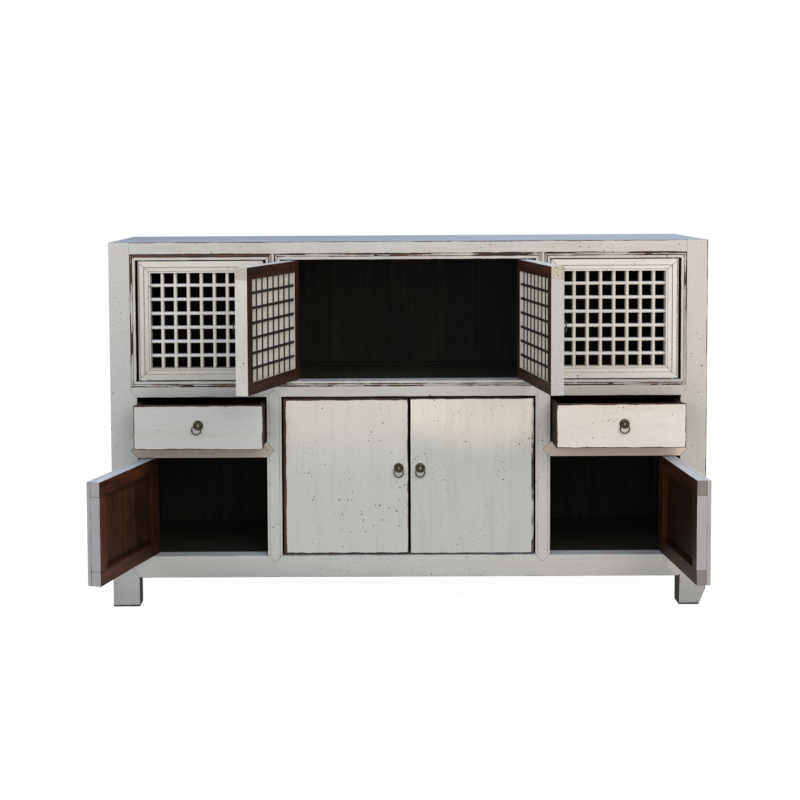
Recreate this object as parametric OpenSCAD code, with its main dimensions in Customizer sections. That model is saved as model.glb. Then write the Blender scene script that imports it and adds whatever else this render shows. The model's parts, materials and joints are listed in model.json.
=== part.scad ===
// Kitchen cupboard: a painted elm sideboard with lattice doors above, two drawers, and panel doors below.
// Millimetres, +Z up, +X to the right and the front towards -Y, origin on the floor under the middle.

/* [Widths] */
// Clear width of each outer bay
side_bay_w = 392; // [320:1:460]
// Clear width of the centre bay
centre_bay_w = 768; // [640:1:880]
// Width of each upright divider
divider_w = 44; // [40:1:46]
// Width of each corner post across the front
post_w = 80; // [70:1:100]

/* [Heights] */
// Height of the feet, from the floor to the bottom rail
foot_h = 89; // [60:1:140]
// Height of the bottom rail
bottom_rail_h = 67; // [50:1:90]
// Clear height of the outer bays under the drawers
low_open_h = 301; // [240:1:380]
// Height of the rail under each drawer
drawer_rail_h = 44; // [40:1:56]
// Clear height of the drawer openings
drawer_open_h = 140; // [110:1:170]
// Height of the rail between the lower and the upper part
middle_rail_h = 49; // [47:1:70]
// Clear height of the upper bays
up_open_h = 366; // [300:1:440]
// Height of the top rail
top_rail_h = 54; // [46:1:70]

/* [Depths] */
// Depth of the cupboard from the front plane to the back plane
depth = 460; // [430:1:520]
// Depth of each corner post from front to back
post_d = 60; // [50:1:70]
// Depth of the front rails and dividers
rail_d = 44; // [40:1:48]

/* [Frame joints] */
// How far pointed rail and divider ends let into each other
mitre_tip = 22; // [16:1:23]
// Run of the mitred shoulder at the ends of the top rail
top_mitre = 18; // [16:1:24]
// Length of the tenons in the posts
tenon_l = 34; // [20:1:44]
// Thickness of the tenons
tenon_t = 12; // [8:1:16]
// Height left out above and below each tenon
tenon_inset = 9; // [6:1:14]
// Hairline between the members of a door frame or a drawer
seam = 0.1; // [0.05:0.01:0.3]
// Open seam between two boards that lie edge to edge
board_seam = 0.6; // [0.2:0.1:3]
// How far the back boards lap over each other
board_lap = 8; // [4:0.5:14]

/* [Moulding] */
// Distance of the fine line of the moulding from the edge of an upper opening
line_set = 9; // [7:0.5:11]
// Width of the fine line
line_w = 1.4; // [1:0.1:2]
// Distance of the wide groove of the moulding from the edge of an upper opening
groove_set = 14.5; // [13:0.5:15]
// Width of the wide groove
groove_w = 3; // [2:0.5:4]
// Depth of the moulding lines
groove_d = 2; // [1:0.5:3]
// Distance of the scratched line from the edges of the lower dividers
scratch_set = 6; // [4:0.5:9]

/* [Top and back] */
// Thickness of the panel in the top
top_panel_t = 14; // [10:1:18]
// Height of the side and back rails of the top frame
top_side_h = 32; // [26:1:40]
// Thickness of the tongue round the top panel
tongue_t = 6; // [4:1:8]
// Depth of the tongues and panel edges in their grooves
tongue_l = 8; // [5:1:10]
// Thickness of the rails at the back
back_rail_t = 34; // [24:1:40]
// Thickness of the side rails
side_rail_t = 34; // [28:1:44]
// Thickness of the back boards
back_board_t = 12; // [9:1:16]
// How far the back boards lie in front of the back plane
back_set = 6; // [4:1:12]
// Thickness of the side panels
side_panel_t = 12; // [9:1:16]
// How far the side panels lie inside the faces of the posts
side_panel_set = 5; // [3:1:10]

/* [Inside] */
// Thickness of the floor and shelf boards
board_t = 12; // [10:1:16]
// How far the floor and shelf lie below the tops of their rails
board_drop = 4; // [2:1:8]
// Thickness of the partitions behind the dividers
partition_t = 15; // [12:1:20]
// Width of the bearers under the boards
bearer_w = 40; // [30:1:50]
// Height of the bearers under the boards
bearer_h = 20; // [16:1:26]
// Width of the drawer runners, measured into the bay
runner_w = 40; // [30:1:60]
// Height of the drawer runners
runner_h = 20; // [14:1:24]
// Height of the guide strips beside the drawers
guide_h = 24; // [16:1:34]

/* [Door fit] */
// Gap at the hinge edge of the centre lattice doors
up_gap_hinge = 9; // [6:0.5:11]
// Gap at the hinge edge of the outer lattice doors
outer_gap_hinge = 5; // [4:0.5:8]
// Gap at the free edge of the left lattice door
up_gap_free = 8; // [5:0.5:10]
// Gap at the free edge of the right lattice door
right_gap_free = 2.5; // [2:0.5:8]
// Gap at the hinge edge of the outer panel doors
low_gap_hinge = 6; // [4:0.5:8]
// Gap at the hinge edge of the centre panel doors
centre_gap_hinge = 4; // [3:0.5:8]
// Gap at the free edge of the outer panel doors
low_gap_free = 2.5; // [2:0.1:4]
// Gap between the two lattice doors that meet
up_gap_meet = 4; // [2.4:0.1:6]
// Gap between the two panel doors that meet
low_gap_meet = 7; // [2.4:0.1:8]
// How far right of the middle the panel doors meet
meet_shift = 2.5; // [-4:0.5:4]
// Gap under the upper doors
up_gap_low = 4; // [2:0.5:6]
// Gap over the upper doors
up_gap_top = 3; // [2:0.5:6]
// Gap under the lower doors
low_gap_low = 3; // [2:0.5:6]
// Gap under the lower centre doors
centre_gap_low = 5; // [2:0.5:8]
// Gap over the lower outer doors
low_gap_top = 2.5; // [2:0.5:6]
// Gap over the lower centre doors
centre_gap_top = 8; // [3:0.5:12]
// Radius of the wooden pivot pins
pin_r = 6; // [4:0.5:6]
// Running clearance round a pivot pin
pin_fit = 0.05; // [0.02:0.01:0.1]
// Length of the pivot pins
pin_l = 12; // [8:1:16]
// Clearance past the end of a pivot pin
pin_end = 0.3; // [0.2:0.1:1]
// Radius of the rounded front corner at the hinge edge
hinge_round = 8; // [7:0.5:10]

/* [Lattice doors] */
// Thickness of the lattice doors
up_door_t = 37; // [34:1:42]
// Width of the stiles and rails of a lattice door
up_frame_w = 35; // [30:1:44]
// Width of the hinge stile of an outer lattice door
outer_stile_w = 39; // [30:1:46]
// Distance of the upper pivot behind the front face
up_pivot_set = 12; // [11.5:0.5:14]
// Thickness of the mitred face of the door frame
mitre_face_t = 5; // [3:0.5:5]
// Width of the flat band on the door frame, outside the step
band_w = 19; // [16:1:24]
// Depth of the step inside the flat band
step_d = 2; // [1:0.5:2.5]
// Number of upright lattice bars
bars_up = 7; // [3:1:10]
// Number of level lattice bars
bars_level = 6; // [2:1:9]
// Width of a lattice bar
bar_w = 8.5; // [7:0.5:11]
// Thickness of a lattice bar from front to back
bar_t = 26; // [18:1:28]
// How far the bars lie behind the front of the door
bar_set = 9; // [4:0.5:12]
// Bevel along the front edges of a lattice bar
bar_bevel = 2.5; // [1:0.5:3.5]

/* [Panel doors] */
// Thickness of the face board of a panel door
face_board_t = 11; // [9:1:14]
// Thickness of the frame behind the face board
back_frame_t = 29; // [22:1:31]
// Width of the hinge stile behind the face board
low_stile_w = 47; // [44:1:60]
// Width of the free stile behind the face board
low_free_w = 41; // [34:1:60]
// Height of the rails behind the face board
low_rail_w = 42; // [34:1:60]
// Thickness of the field on the back of the face board, inside the frame
field_t = 13; // [6:1:18]
// Distance of the lower pivot behind the front face
low_pivot_set = 16; // [14:0.5:20]

/* [Drawers] */
// Gap between a drawer front and each side of its opening
drawer_gap = 5; // [3:0.5:8]
// Height of a drawer front
drawer_front_h = 130; // [90:1:138]
// Thickness of a drawer front
drawer_front_t = 20; // [14:1:26]
// Length of a drawer from face to back
drawer_l = 400; // [300:1:416]
// Thickness of the drawer sides and back
drawer_side_t = 12; // [9:1:15]
// How far the drawer sides stop below the top of the front
drawer_side_drop = 4; // [0:1:20]
// Thickness of the drawer bottom
drawer_bottom_t = 8; // [6:1:12]
// Height of the drawer bottom above the underside of the sides
drawer_bottom_up = 5; // [3:1:12]
// Clearance between a drawer and its runners
drawer_lift = 0.3; // [0.2:0.1:1]
// Clearance between a drawer and each guide strip
guide_fit = 0.5; // [0.3:0.1:1]

/* [Pulls] */
// Radius of the round plate of a pull
plate_r = 15; // [12:0.5:20]
// Thickness of the plate at its rim
plate_t = 1; // [0.8:0.1:2]
// Height of the ridges on the plate above its rim
ridge_h = 1; // [0.4:0.1:1.4]
// Radius of the shank of the cotter
shank_r = 1.7; // [1.4:0.1:1.9]
// Clearance round the shank
shank_fit = 0.2; // [0.1:0.05:0.4]
// Length of the shank in the wood
shank_l = 9; // [5:1:10]
// Outer radius of the eye of the cotter
eye_r = 4.6; // [4.4:0.1:5.5]
// Radius of the hole of the eye
eye_hole_r = 2.5; // [2.4:0.05:2.8]
// Thickness of the eye
eye_t = 4; // [3:0.5:5]
// Distance of the hole of the eye in front of the wood
eye_out = 7.5; // [7:0.5:10]
// Radius of the ring to the middle of its wire
ring_r = 13.5; // [11:0.5:18]
// Radius of the wire of the ring
wire_r = 2; // [1.5:0.1:2.1]
// Distance of a pull from the free edge of a lower centre door
centre_pull_in = 29; // [20:1:50]
// Distance of a pull from the free edge of a lower outer door
outer_pull_in = 45; // [20:1:60]
// Height of a pull above the middle of a lower centre door
centre_pull_up = 26; // [-60:1:60]
// Height of a pull above the middle of a lower outer door
outer_pull_up = 20; // [-60:1:60]
// Height of a pull above the middle of a lattice door
up_pull_up = 23; // [-60:1:60]
// Height of a pull above the middle of a drawer front
drawer_pull_up = 6.5; // [-20:0.5:20]
// How far right of the middle the pull of the right drawer is
right_pull_across = 9; // [-20:1:20]

/* [Wear] */
// Width lost from the bottom of the right front foot
foot_worn_w = 20; // [0:1:30]
// Height to which the right front foot is worn away
foot_worn_h = 48; // [10:1:60]

/* [As it stands] */
// How far the left upper door of the centre bay is open, in degrees
up_left_open = 110; // [0:0.5:114]
// How far the right upper door of the centre bay is open, in degrees
up_right_open = 98.5; // [0:0.5:114]
// How far the left lower door is open, in degrees
low_left_open = 107; // [0:0.5:117]
// How far the right lower door is open, in degrees
low_right_open = 94; // [0:0.5:117]
// How far the left drawer is pulled out
left_pulled = 100; // [0:1:280]
// How far the right drawer is pulled out
right_pulled = 105; // [0:1:280]
// Lean of the ring on the left drawer, in degrees
ring_lean = 21; // [0:1:30]

/* [Hidden] */

// Colours
paint = "#cbc6bc";
bare_wood = "#4a2d22";
dark_wood = "#2c211b";
top_paint = "#8b98a2";
bronze = "#6a5c44";

// Widths, from the middle outwards
x_in = centre_bay_w / 2;
x_div = x_in + divider_w;
x_jamb = x_div + side_bay_w;
x_out = x_jamb + post_w;
x_bay = (x_div + x_jamb) / 2;
x_div_mid = x_in + divider_w / 2;

// Levels, from the floor upwards
z_low0 = foot_h + bottom_rail_h;
z_low1 = z_low0 + low_open_h;
z_drw0 = z_low1 + drawer_rail_h;
z_drw1 = z_drw0 + drawer_open_h;
z_up0 = z_drw1 + middle_rail_h;
z_up1 = z_up0 + up_open_h;
z_top = z_up1 + top_rail_h;
z_floor = z_low0 - board_drop;
z_shelf = z_up0 - board_drop;
z_top_panel = z_top - top_panel_t;

// Depths, from the front to the back
y_front = -depth / 2;
y_back = depth / 2;
y_rail = y_front + rail_d;
y_post = y_front + post_d;
y_back_post = y_back - post_d;
y_board1 = y_back - back_set;
y_board0 = y_board1 - back_board_t;
y_back_rail = y_board0 - back_rail_t;
y_tenon = y_front + rail_d / 2;

// Doors: width, and distance of the pivot from the hinge edge
up_left_door_w = side_bay_w - outer_gap_hinge - up_gap_free;
up_right_door_w = side_bay_w - outer_gap_hinge - right_gap_free;
up_centre_door_w = centre_bay_w / 2 - up_gap_hinge - up_gap_meet / 2;
low_side_door_w = side_bay_w - low_gap_hinge - low_gap_free;
low_left_door_w = centre_bay_w / 2 - centre_gap_hinge - low_gap_meet / 2 + meet_shift;
low_right_door_w = centre_bay_w / 2 - centre_gap_hinge - low_gap_meet / 2 - meet_shift;
up_pivot_in = up_frame_w / 2;
low_pivot_in = low_stile_w / 2;
low_door_t = face_board_t + back_frame_t;
up_door0 = z_up0 + up_gap_low;
up_door1 = z_up1 - up_gap_top;
low_door0 = z_low0 + low_gap_low;
low_door1 = z_low1 - low_gap_top;
centre_door0 = z_low0 + centre_gap_low;
centre_door1 = z_drw1 - centre_gap_top;
drawer_w = side_bay_w - 2 * drawer_gap;
drawer0 = z_drw0 + drawer_lift;

// The pull of a panel door: its distances from the free edge and above the middle
OUTER_PULL = [outer_pull_in, outer_pull_up];
CENTRE_PULL = [centre_pull_in, centre_pull_up];

// One door: side of the hinge (1 left, -1 right), jamb, width, opening angle, gap at the hinge, hinge stile
UPPER_LEFT = [1, -x_jamb, up_left_door_w, 0, outer_gap_hinge, outer_stile_w];
UPPER_CENTRE_LEFT = [1, -x_in, up_centre_door_w, up_left_open, up_gap_hinge, up_frame_w];
UPPER_CENTRE_RIGHT = [-1, x_in, up_centre_door_w, up_right_open, up_gap_hinge, up_frame_w];
UPPER_RIGHT = [-1, x_jamb, up_right_door_w, 0, outer_gap_hinge, outer_stile_w];
LOWER_LEFT = [1, -x_jamb, low_side_door_w, low_left_open, low_gap_hinge, low_stile_w];
LOWER_CENTRE_LEFT = [1, -x_in, low_left_door_w, 0, centre_gap_hinge, low_stile_w];
LOWER_CENTRE_RIGHT = [-1, x_in, low_right_door_w, 0, centre_gap_hinge, low_stile_w];
LOWER_RIGHT = [-1, x_jamb, low_side_door_w, low_right_open, low_gap_hinge, low_stile_w];

// Middles of the seams between the back boards, from left to right, each a distance from the middle
BACK_SEAMS = [-640, -437, -254, -55, 145, 235, 428, 625];

// Ridges on the plate of a pull, as shares of its radius: crest and foot of the one at the rim
RIM = [0.92, 0.84];
// Outer foot, crest and inner foot of the ridge half-way
RIDGE = [0.72, 0.62, 0.52];
// Foot and top of the boss in the middle
BOSS = [0.36, 0.28];

// A small overrun, so that no cut ends in the face that it passes
over = 1;
// Facets round a large and round a small circle
smooth = 48;
smooth_small = 24;

// A block between two opposite corners
module block(low, high) {
  translate(low) cube(high - low);
}

// An outline drawn in front view, given its depth from y0 to y1
module front_view(y0, y1, outline) {
  translate([0, y1, 0]) rotate([90, 0, 0]) linear_extrude(y1 - y0) polygon(outline);
}

// The same thing on the left and on the right
module both_sides() {
  children();
  mirror([1, 0, 0]) children();
}

// A rail between x0 and x1 whose ends run to points
module pointed_rail(x0, x1, z0, z1) {
  mid = (z0 + z1) / 2;
  front_view(y_front, y_rail, [
    [x0, z0], [x1, z0], [x1 + mitre_tip, mid], [x1, z1], [x0, z1], [x0 - mitre_tip, mid]
  ]);
}

// A divider between z0 and z1 whose ends run to points
module pointed_divider(z0, z1) {
  front_view(y_front, y_rail, [
    [x_in, z0], [x_div_mid, z0 - mitre_tip], [x_div, z0],
    [x_div, z1], [x_div_mid, z1 + mitre_tip], [x_in, z1]
  ]);
}

// Tenons of a front rail, let into both posts
module front_tenons(z0, z1) {
  block(
    [-x_jamb - tenon_l, y_tenon - tenon_t / 2, z0 + tenon_inset],
    [x_jamb + tenon_l, y_tenon + tenon_t / 2, z1 - tenon_inset]
  );
}

module top_front_rail_blank() {
  m = top_mitre;
  front_view(y_front, y_rail, [
    [-x_jamb, z_up1], [x_jamb, z_up1], [x_jamb + m, z_up1 + m], [x_jamb + m, z_top],
    [-x_jamb - m, z_top], [-x_jamb - m, z_up1 + m]
  ]);
}

module middle_front_rail_blank() {
  pointed_rail(-x_jamb, x_jamb, z_drw1, z_up0);
  front_tenons(z_drw1, z_up0);
}

module bottom_front_rail_blank() {
  pointed_rail(-x_jamb, x_jamb, foot_h, z_low0);
  front_tenons(foot_h, z_low0);
}

module drawer_rail_blanks() {
  both_sides() pointed_rail(x_div, x_jamb, z_low1, z_drw0);
}

module upper_divider_blanks() {
  both_sides() pointed_divider(z_up0, z_up1);
}

module lower_divider_blanks() {
  both_sides() pointed_divider(z_low0, z_drw1);
}

// A back rail at its level, with its tenons in the back posts
module back_rail_blank(z0, z1) {
  y_mid = y_back_rail + back_rail_t / 2;
  block([-x_jamb, y_back_rail, z0], [x_jamb, y_board0, z1]);
  block(
    [-x_jamb - tenon_l, y_mid - tenon_t / 2, z0 + tenon_inset],
    [x_jamb + tenon_l, y_mid + tenon_t / 2, z1 - tenon_inset]
  );
}

// A side rail on the right, with its tenons in the posts
module side_rail_blank(z0, z1) {
  x_mid = x_out - side_rail_t / 2;
  block([x_out - side_rail_t, y_post, z0], [x_out, y_back_post, z1]);
  block(
    [x_mid - tenon_t / 2, y_post - tenon_l / 2, z0 + tenon_inset],
    [x_mid + tenon_t / 2, y_back_post + tenon_l / 2, z1 - tenon_inset]
  );
}

module side_rail_blanks() {
  both_sides() {
    side_rail_blank(foot_h, z_low0);
    side_rail_blank(z_drw1, z_up0);
  }
}

// The side and back rails of the top frame, between the posts
module top_frame_blanks() {
  both_sides() block([x_jamb, y_post, z_top - top_side_h], [x_out, y_back_post, z_top]);
  block([-x_jamb, y_back_post, z_top - top_side_h], [x_jamb, y_back, z_top]);
}

// The side panels, with their edges in the grooves of posts and rails
module side_panel_blanks() {
  x1 = x_out - side_panel_set;
  g = tongue_l;
  both_sides() {
    block([x1 - side_panel_t, y_post - g, z_low0 - g], [x1, y_back_post + g, z_drw1 + g]);
    block([x1 - side_panel_t, y_post - g, z_up0 - g], [x1, y_back_post + g, z_top - top_side_h + g]);
  }
}

// The top panel, with a tongue all round in the grooves of the top frame
module top_panel_blank() {
  g = tongue_l;
  z_tongue = z_top_panel + (top_panel_t - tongue_t) / 2;
  block([-x_jamb, y_rail, z_top_panel], [x_jamb, y_back_post, z_top]);
  block([-x_jamb - g, y_rail - g, z_tongue], [x_jamb + g, y_back_post + g, z_tongue + tongue_t]);
}

// One line of the moulding round an opening, as a ring cut into the front
module line_round(x0, x1, z0, z1, set, w, cut) {
  difference() {
    block([x0 - set - w, y_front - over, z0 - set - w], [x1 + set + w, y_front + cut, z1 + set + w]);
    block([x0 - set, y_front - 2 * over, z0 - set], [x1 + set, y_front + cut + over, z1 + set]);
  }
}

// The moulding round the three upper openings
module moulding_lines() {
  for (bay = [[-x_jamb, -x_div], [-x_in, x_in], [x_div, x_jamb]]) {
    line_round(bay[0], bay[1], z_up0, z_up1, line_set, line_w, groove_d / 2);
    line_round(bay[0], bay[1], z_up0, z_up1, groove_set, groove_w, groove_d);
  }
}

// Sockets for the pivot pins of a pair of doors, whose pivots mirror each other
module pin_sockets(x, y, z0, z1) {
  both_sides() translate([x, y, 0]) {
    translate([0, 0, z0 - pin_l - pin_end]) cylinder(r = pin_r + pin_fit, h = pin_l + pin_end + over, $fn = smooth);
    translate([0, 0, z1 - over]) cylinder(r = pin_r + pin_fit, h = pin_l + pin_end + over, $fn = smooth);
  }
}

// Every socket in the rails; each is as deep as its pin and the gap under the door need
module all_sockets() {
  y_up = y_front + up_pivot_set;
  y_low = y_front + low_pivot_set;
  pin_sockets(x_jamb - outer_gap_hinge - up_pivot_in, y_up, z_up0, z_up1);
  pin_sockets(x_in - up_gap_hinge - up_pivot_in, y_up, z_up0, z_up1);
  pin_sockets(x_jamb - low_gap_hinge - low_pivot_in, y_low, z_low0, z_low1);
  pin_sockets(x_in - centre_gap_hinge - low_pivot_in, y_low, z_low0, z_drw1);
}

module front_posts() {
  color(paint) difference() {
    both_sides() block([x_jamb, y_front, 0], [x_out, y_post, z_top]);
    top_front_rail_blank();
    middle_front_rail_blank();
    bottom_front_rail_blank();
    drawer_rail_blanks();
    side_rail_blanks();
    side_panel_blanks();
    top_panel_blank();
    moulding_lines();
    front_view(y_front - over, y_post + over, [
      [x_out + over, -over], [x_out - foot_worn_w, -over], [x_out - foot_worn_w, 0],
      [x_out, foot_worn_h], [x_out + over, foot_worn_h]
    ]);
  }
}

module back_posts() {
  color(paint) difference() {
    both_sides() block([x_jamb, y_back_post, 0], [x_out, y_back, z_top]);
    back_rail_blank(foot_h, z_low0);
    back_rail_blank(z_drw1, z_up0);
    side_rail_blanks();
    side_panel_blanks();
    top_panel_blank();
  }
}

module top_front_rail() {
  color(paint) difference() {
    top_front_rail_blank();
    upper_divider_blanks();
    top_panel_blank();
    all_sockets();
    moulding_lines();
  }
}

module top_frame_rails() {
  color(top_paint) difference() {
    top_frame_blanks();
    top_panel_blank();
    side_panel_blanks();
  }
}

module top_panel() {
  color(top_paint) top_panel_blank();
}

module middle_front_rail() {
  color(paint) difference() {
    middle_front_rail_blank();
    upper_divider_blanks();
    lower_divider_blanks();
    all_sockets();
    moulding_lines();
  }
}

module bottom_front_rail() {
  color(paint) difference() {
    bottom_front_rail_blank();
    lower_divider_blanks();
    all_sockets();
  }
}

module back_rails() {
  color(dark_wood) {
    back_rail_blank(foot_h, z_low0);
    back_rail_blank(z_drw1, z_up0);
  }
}

module side_rails() {
  color(paint) difference() {
    side_rail_blanks();
    side_panel_blanks();
  }
}

module upper_dividers() {
  color(paint) difference() {
    upper_divider_blanks();
    moulding_lines();
  }
}

module lower_dividers() {
  color(paint) difference() {
    lower_divider_blanks();
    drawer_rail_blanks();
    both_sides() for (x = [x_in + scratch_set, x_div - scratch_set - line_w]) {
      block([x, y_front - over, z_low0], [x + line_w, y_front + groove_d / 2, z_drw1]);
    }
  }
}

module drawer_rails() {
  color(paint) difference() {
    drawer_rail_blanks();
    all_sockets();
  }
}

module side_panels() {
  color(paint) side_panel_blanks();
}

// Upright boards on the back of the rails, between the posts; each laps over the next by half its thickness
module back_boards() {
  edges = concat([-x_jamb], BACK_SEAMS, [x_jamb]);
  last = len(edges) - 1;
  g = board_seam / 2;
  h = board_lap / 2;
  y_mid = (y_board0 + y_board1) / 2;
  z0 = foot_h;
  z1 = z_top - top_side_h;
  color(dark_wood) for (i = [1 : last]) difference() {
    x0 = edges[i - 1] + g - (i > 1 ? h : 0);
    x1 = edges[i] - g + (i < last ? h : 0);
    block([x0, y_board0, z0], [x1, y_board1, z1]);
    if (i > 1) block([x0 - over, y_board0 - over, z0 - over], [x0 + 2 * h, y_mid + g, z1 + over]);
    if (i < last) block([x1 - 2 * h, y_mid - g, z0 - over], [x1 + over, y_board1 + over, z1 + over]);
  }
}

// The corner posts as plain squares, for what is cut round them
module post_blanks() {
  both_sides() {
    block([x_jamb, y_front, 0], [x_out, y_post, z_top]);
    block([x_jamb, y_back_post, 0], [x_out, y_back, z_top]);
  }
}

// Two long boards a level, between the side rails and cut round the posts
module level_boards(z_over) {
  y_mid = (y_rail + y_board0) / 2;
  x1 = x_out - side_rail_t;
  difference() {
    union() {
      block([-x1, y_rail, z_over - board_t], [x1, y_mid - board_seam / 2, z_over]);
      block([-x1, y_mid + board_seam / 2, z_over - board_t], [x1, y_board0, z_over]);
    }
    post_blanks();
  }
}

module shelf_boards() {
  color(dark_wood) difference() {
    level_boards(z_shelf);
    back_rail_blank(z_drw1, z_up0);
  }
}

module floor_boards() {
  color(dark_wood) difference() {
    level_boards(z_floor);
    back_rail_blank(foot_h, z_low0);
  }
}

// Cross bearers under the floor and the shelf, two in each half
module bearers() {
  color(dark_wood) both_sides() for (x = [x_bay, x_in / 2], z = [z_floor, z_shelf]) {
    block(
      [x - bearer_w / 2, y_rail, z - board_t - bearer_h],
      [x + bearer_w / 2, y_back_rail, z - board_t]
    );
  }
}

// Partitions behind the dividers, below the shelf and above it
module partitions() {
  x0 = x_div_mid - partition_t / 2;
  color(dark_wood) both_sides() difference() {
    union() {
      block([x0, y_rail, z_floor], [x0 + partition_t, y_board0, z_shelf - board_t]);
      block([x0, y_rail, z_shelf], [x0 + partition_t, y_board0, z_top_panel]);
    }
    back_rail_blank(foot_h, z_low0);
    back_rail_blank(z_drw1, z_up0);
    top_frame_blanks();
  }
}

// The strips that carry the sides of the drawers
module drawer_runners() {
  color(dark_wood) both_sides() {
    block([x_jamb - runner_w, y_rail, z_drw0 - runner_h], [x_jamb, y_board0, z_drw0]);
    block(
      [x_div_mid + partition_t / 2, y_rail, z_drw0 - runner_h],
      [x_div + runner_w, y_board0, z_drw0]
    );
  }
}

// The strips that keep the drawers straight
module drawer_guides() {
  w = drawer_gap - guide_fit;
  color(dark_wood) both_sides() {
    block([x_jamb - w, y_rail, z_drw0], [x_jamb, y_board0, z_drw0 + guide_h]);
    block([x_div, y_rail, z_drw0], [x_div + w, y_board0, z_drw0 + guide_h]);
  }
}

// Puts a door, drawn round its pivot at the origin, in its place and at its angle
module hang(door, pivot_in, pivot_set) {
  side = door[0];
  translate([door[1] + side * (door[4] + pivot_in), y_front + pivot_set, 0])
    rotate([0, 0, -side * door[3]]) {
      if (side > 0) children();
      else mirror([1, 0, 0]) children();
    }
}

// The whole thickness of a door, with its front corner rounded at the hinge edge
module door_slab(x0, x1, y0, y1, z0, z1) {
  r = hinge_round;
  block([x0 + r, y0, z0], [x1, y1, z1]);
  block([x0, y0 + r, z0], [x0 + r + over, y1, z1]);
  intersection() {
    translate([x0 + r, y0 + r, z0]) cylinder(r = r, h = z1 - z0, $fn = smooth);
    block([x0 - over, y0 - over, z0 - over], [x0 + r + over, y0 + r + over, z1 + over]);
  }
}

// The two pivot pins of a door, which reach as far past its ends as the gaps ask
module pivot_pins(z0, z1, low_gap, top_gap) {
  translate([0, 0, z0 - low_gap - pin_l]) cylinder(r = pin_r, h = low_gap + pin_l, $fn = smooth);
  translate([0, 0, z1]) cylinder(r = pin_r, h = top_gap + pin_l, $fn = smooth);
}

// The hole for the shank of a pull
module shank_hole(x, y0, z) {
  translate([x, y0 + shank_l, z]) rotate([90, 0, 0])
    cylinder(r = shank_r + shank_fit, h = shank_l + over, $fn = smooth_small);
}

// The frame of a lattice door: two stiles and two rails, mitred in front and tenoned behind
module lattice_frame(door) {
  w = door[2];
  s = door[5];
  f = up_frame_w;
  x0 = -up_pivot_in;
  x1 = x0 + w;
  y0 = -up_pivot_set;
  y1 = y0 + up_door_t;
  y_face = y0 + mitre_face_t;
  z0 = up_door0;
  z1 = up_door1;
  z_pull = (z0 + z1) / 2 + up_pull_up;
  g = seam;
  m = seam * sqrt(2);
  h = seam * sqrt(s * s + f * f) / f;
  b = band_w + (s - f) / 2;
  color(paint) hang(door, up_pivot_in, up_pivot_set) {
    // Hinge stile with its pins
    difference() {
      union() {
        intersection() {
          door_slab(x0, x1, y0, y1, z0, z1);
          union() {
            front_view(y0, y_face, [[x0, z0], [x0 + s, z0 + f], [x0 + s, z1 - f], [x0, z1]]);
            block([x0, y_face - over, z0 + f], [x0 + s, y1, z1 - f]);
            block([x0, y_face + g, z0], [x0 + s, y1, z1]);
          }
        }
        pivot_pins(z0, z1, up_gap_low, up_gap_top);
      }
      frame_step(x0 + b, x1 - band_w, y0, z0, z1);
    }
    // Free stile
    difference() {
      union() {
        front_view(y0, y_face, [[x1, z0], [x1, z1], [x1 - f, z1 - f], [x1 - f, z0 + f]]);
        block([x1 - f, y_face - over, z0 + f + g], [x1, y1, z1 - f - g]);
      }
      frame_step(x0 + b, x1 - band_w, y0, z0, z1);
      shank_hole(x1 - f / 2, y0, z_pull);
    }
    // Rails, which run through behind the face at the free edge
    difference() {
      intersection() {
        door_slab(x0, x1, y0, y1, z0, z1);
        union() {
          front_view(y0, y_face, [[x0 + h, z0], [x1 - m, z0], [x1 - f - m, z0 + f], [x0 + s + h, z0 + f]]);
          front_view(y0, y_face, [[x0 + s + h, z1 - f], [x1 - f - m, z1 - f], [x1 - m, z1], [x0 + h, z1]]);
          for (z = [z0, z1 - f]) {
            block([x0 + s + h, y_face - over, z], [x1 - f - m, y1, z + f]);
            block([x1 - f - over, y_face + g, z], [x1, y1, z + f]);
          }
        }
      }
      frame_step(x0 + b, x1 - band_w, y0, z0, z1);
    }
  }
}

// The step inside the flat band on the face of a lattice door
module frame_step(x0, x1, y0, z0, z1) {
  block([x0, y0 - over, z0 + band_w], [x1, y0 + step_d, z1 - band_w]);
}

// Section of a lattice bar, width by depth, with its front edges bevelled
function bar_section(w, y0, y1) = [
  [-w / 2, y1], [-w / 2, y0 + bar_bevel], [-w / 2 + bar_bevel, y0],
  [w / 2 - bar_bevel, y0], [w / 2, y0 + bar_bevel], [w / 2, y1]
];

// The upright bars of a lattice, halved at the back for the level ones
module upright_bars(x0, x1, y0, z0, z1) {
  pitch = (x1 - x0 + bar_w) / (bars_up + 1);
  rise = (z1 - z0 + bar_w) / (bars_level + 1);
  for (i = [1 : bars_up]) difference() {
    translate([x0 - bar_w / 2 + i * pitch, 0, z0])
      linear_extrude(z1 - z0) polygon(bar_section(bar_w, y0, y0 + bar_t));
    for (j = [1 : bars_level]) {
      z = z0 - bar_w / 2 + j * rise;
      block([x0, y0 + bar_t / 2, z - bar_w / 2], [x1, y0 + bar_t + over, z + bar_w / 2]);
    }
  }
}

// The level bars of a lattice, halved at the front for the upright ones
module level_bars(x0, x1, y0, z0, z1) {
  rise = (z1 - z0 + bar_w) / (bars_level + 1);
  for (j = [1 : bars_level]) difference() {
    translate([x0, 0, z0 - bar_w / 2 + j * rise]) rotate([90, 0, 90]) linear_extrude(x1 - x0)
      polygon([for (p = bar_section(bar_w, y0, y0 + bar_t)) [p[1], p[0]]]);
    upright_bars(x0, x1, y0, z0, z1);
  }
}

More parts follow.
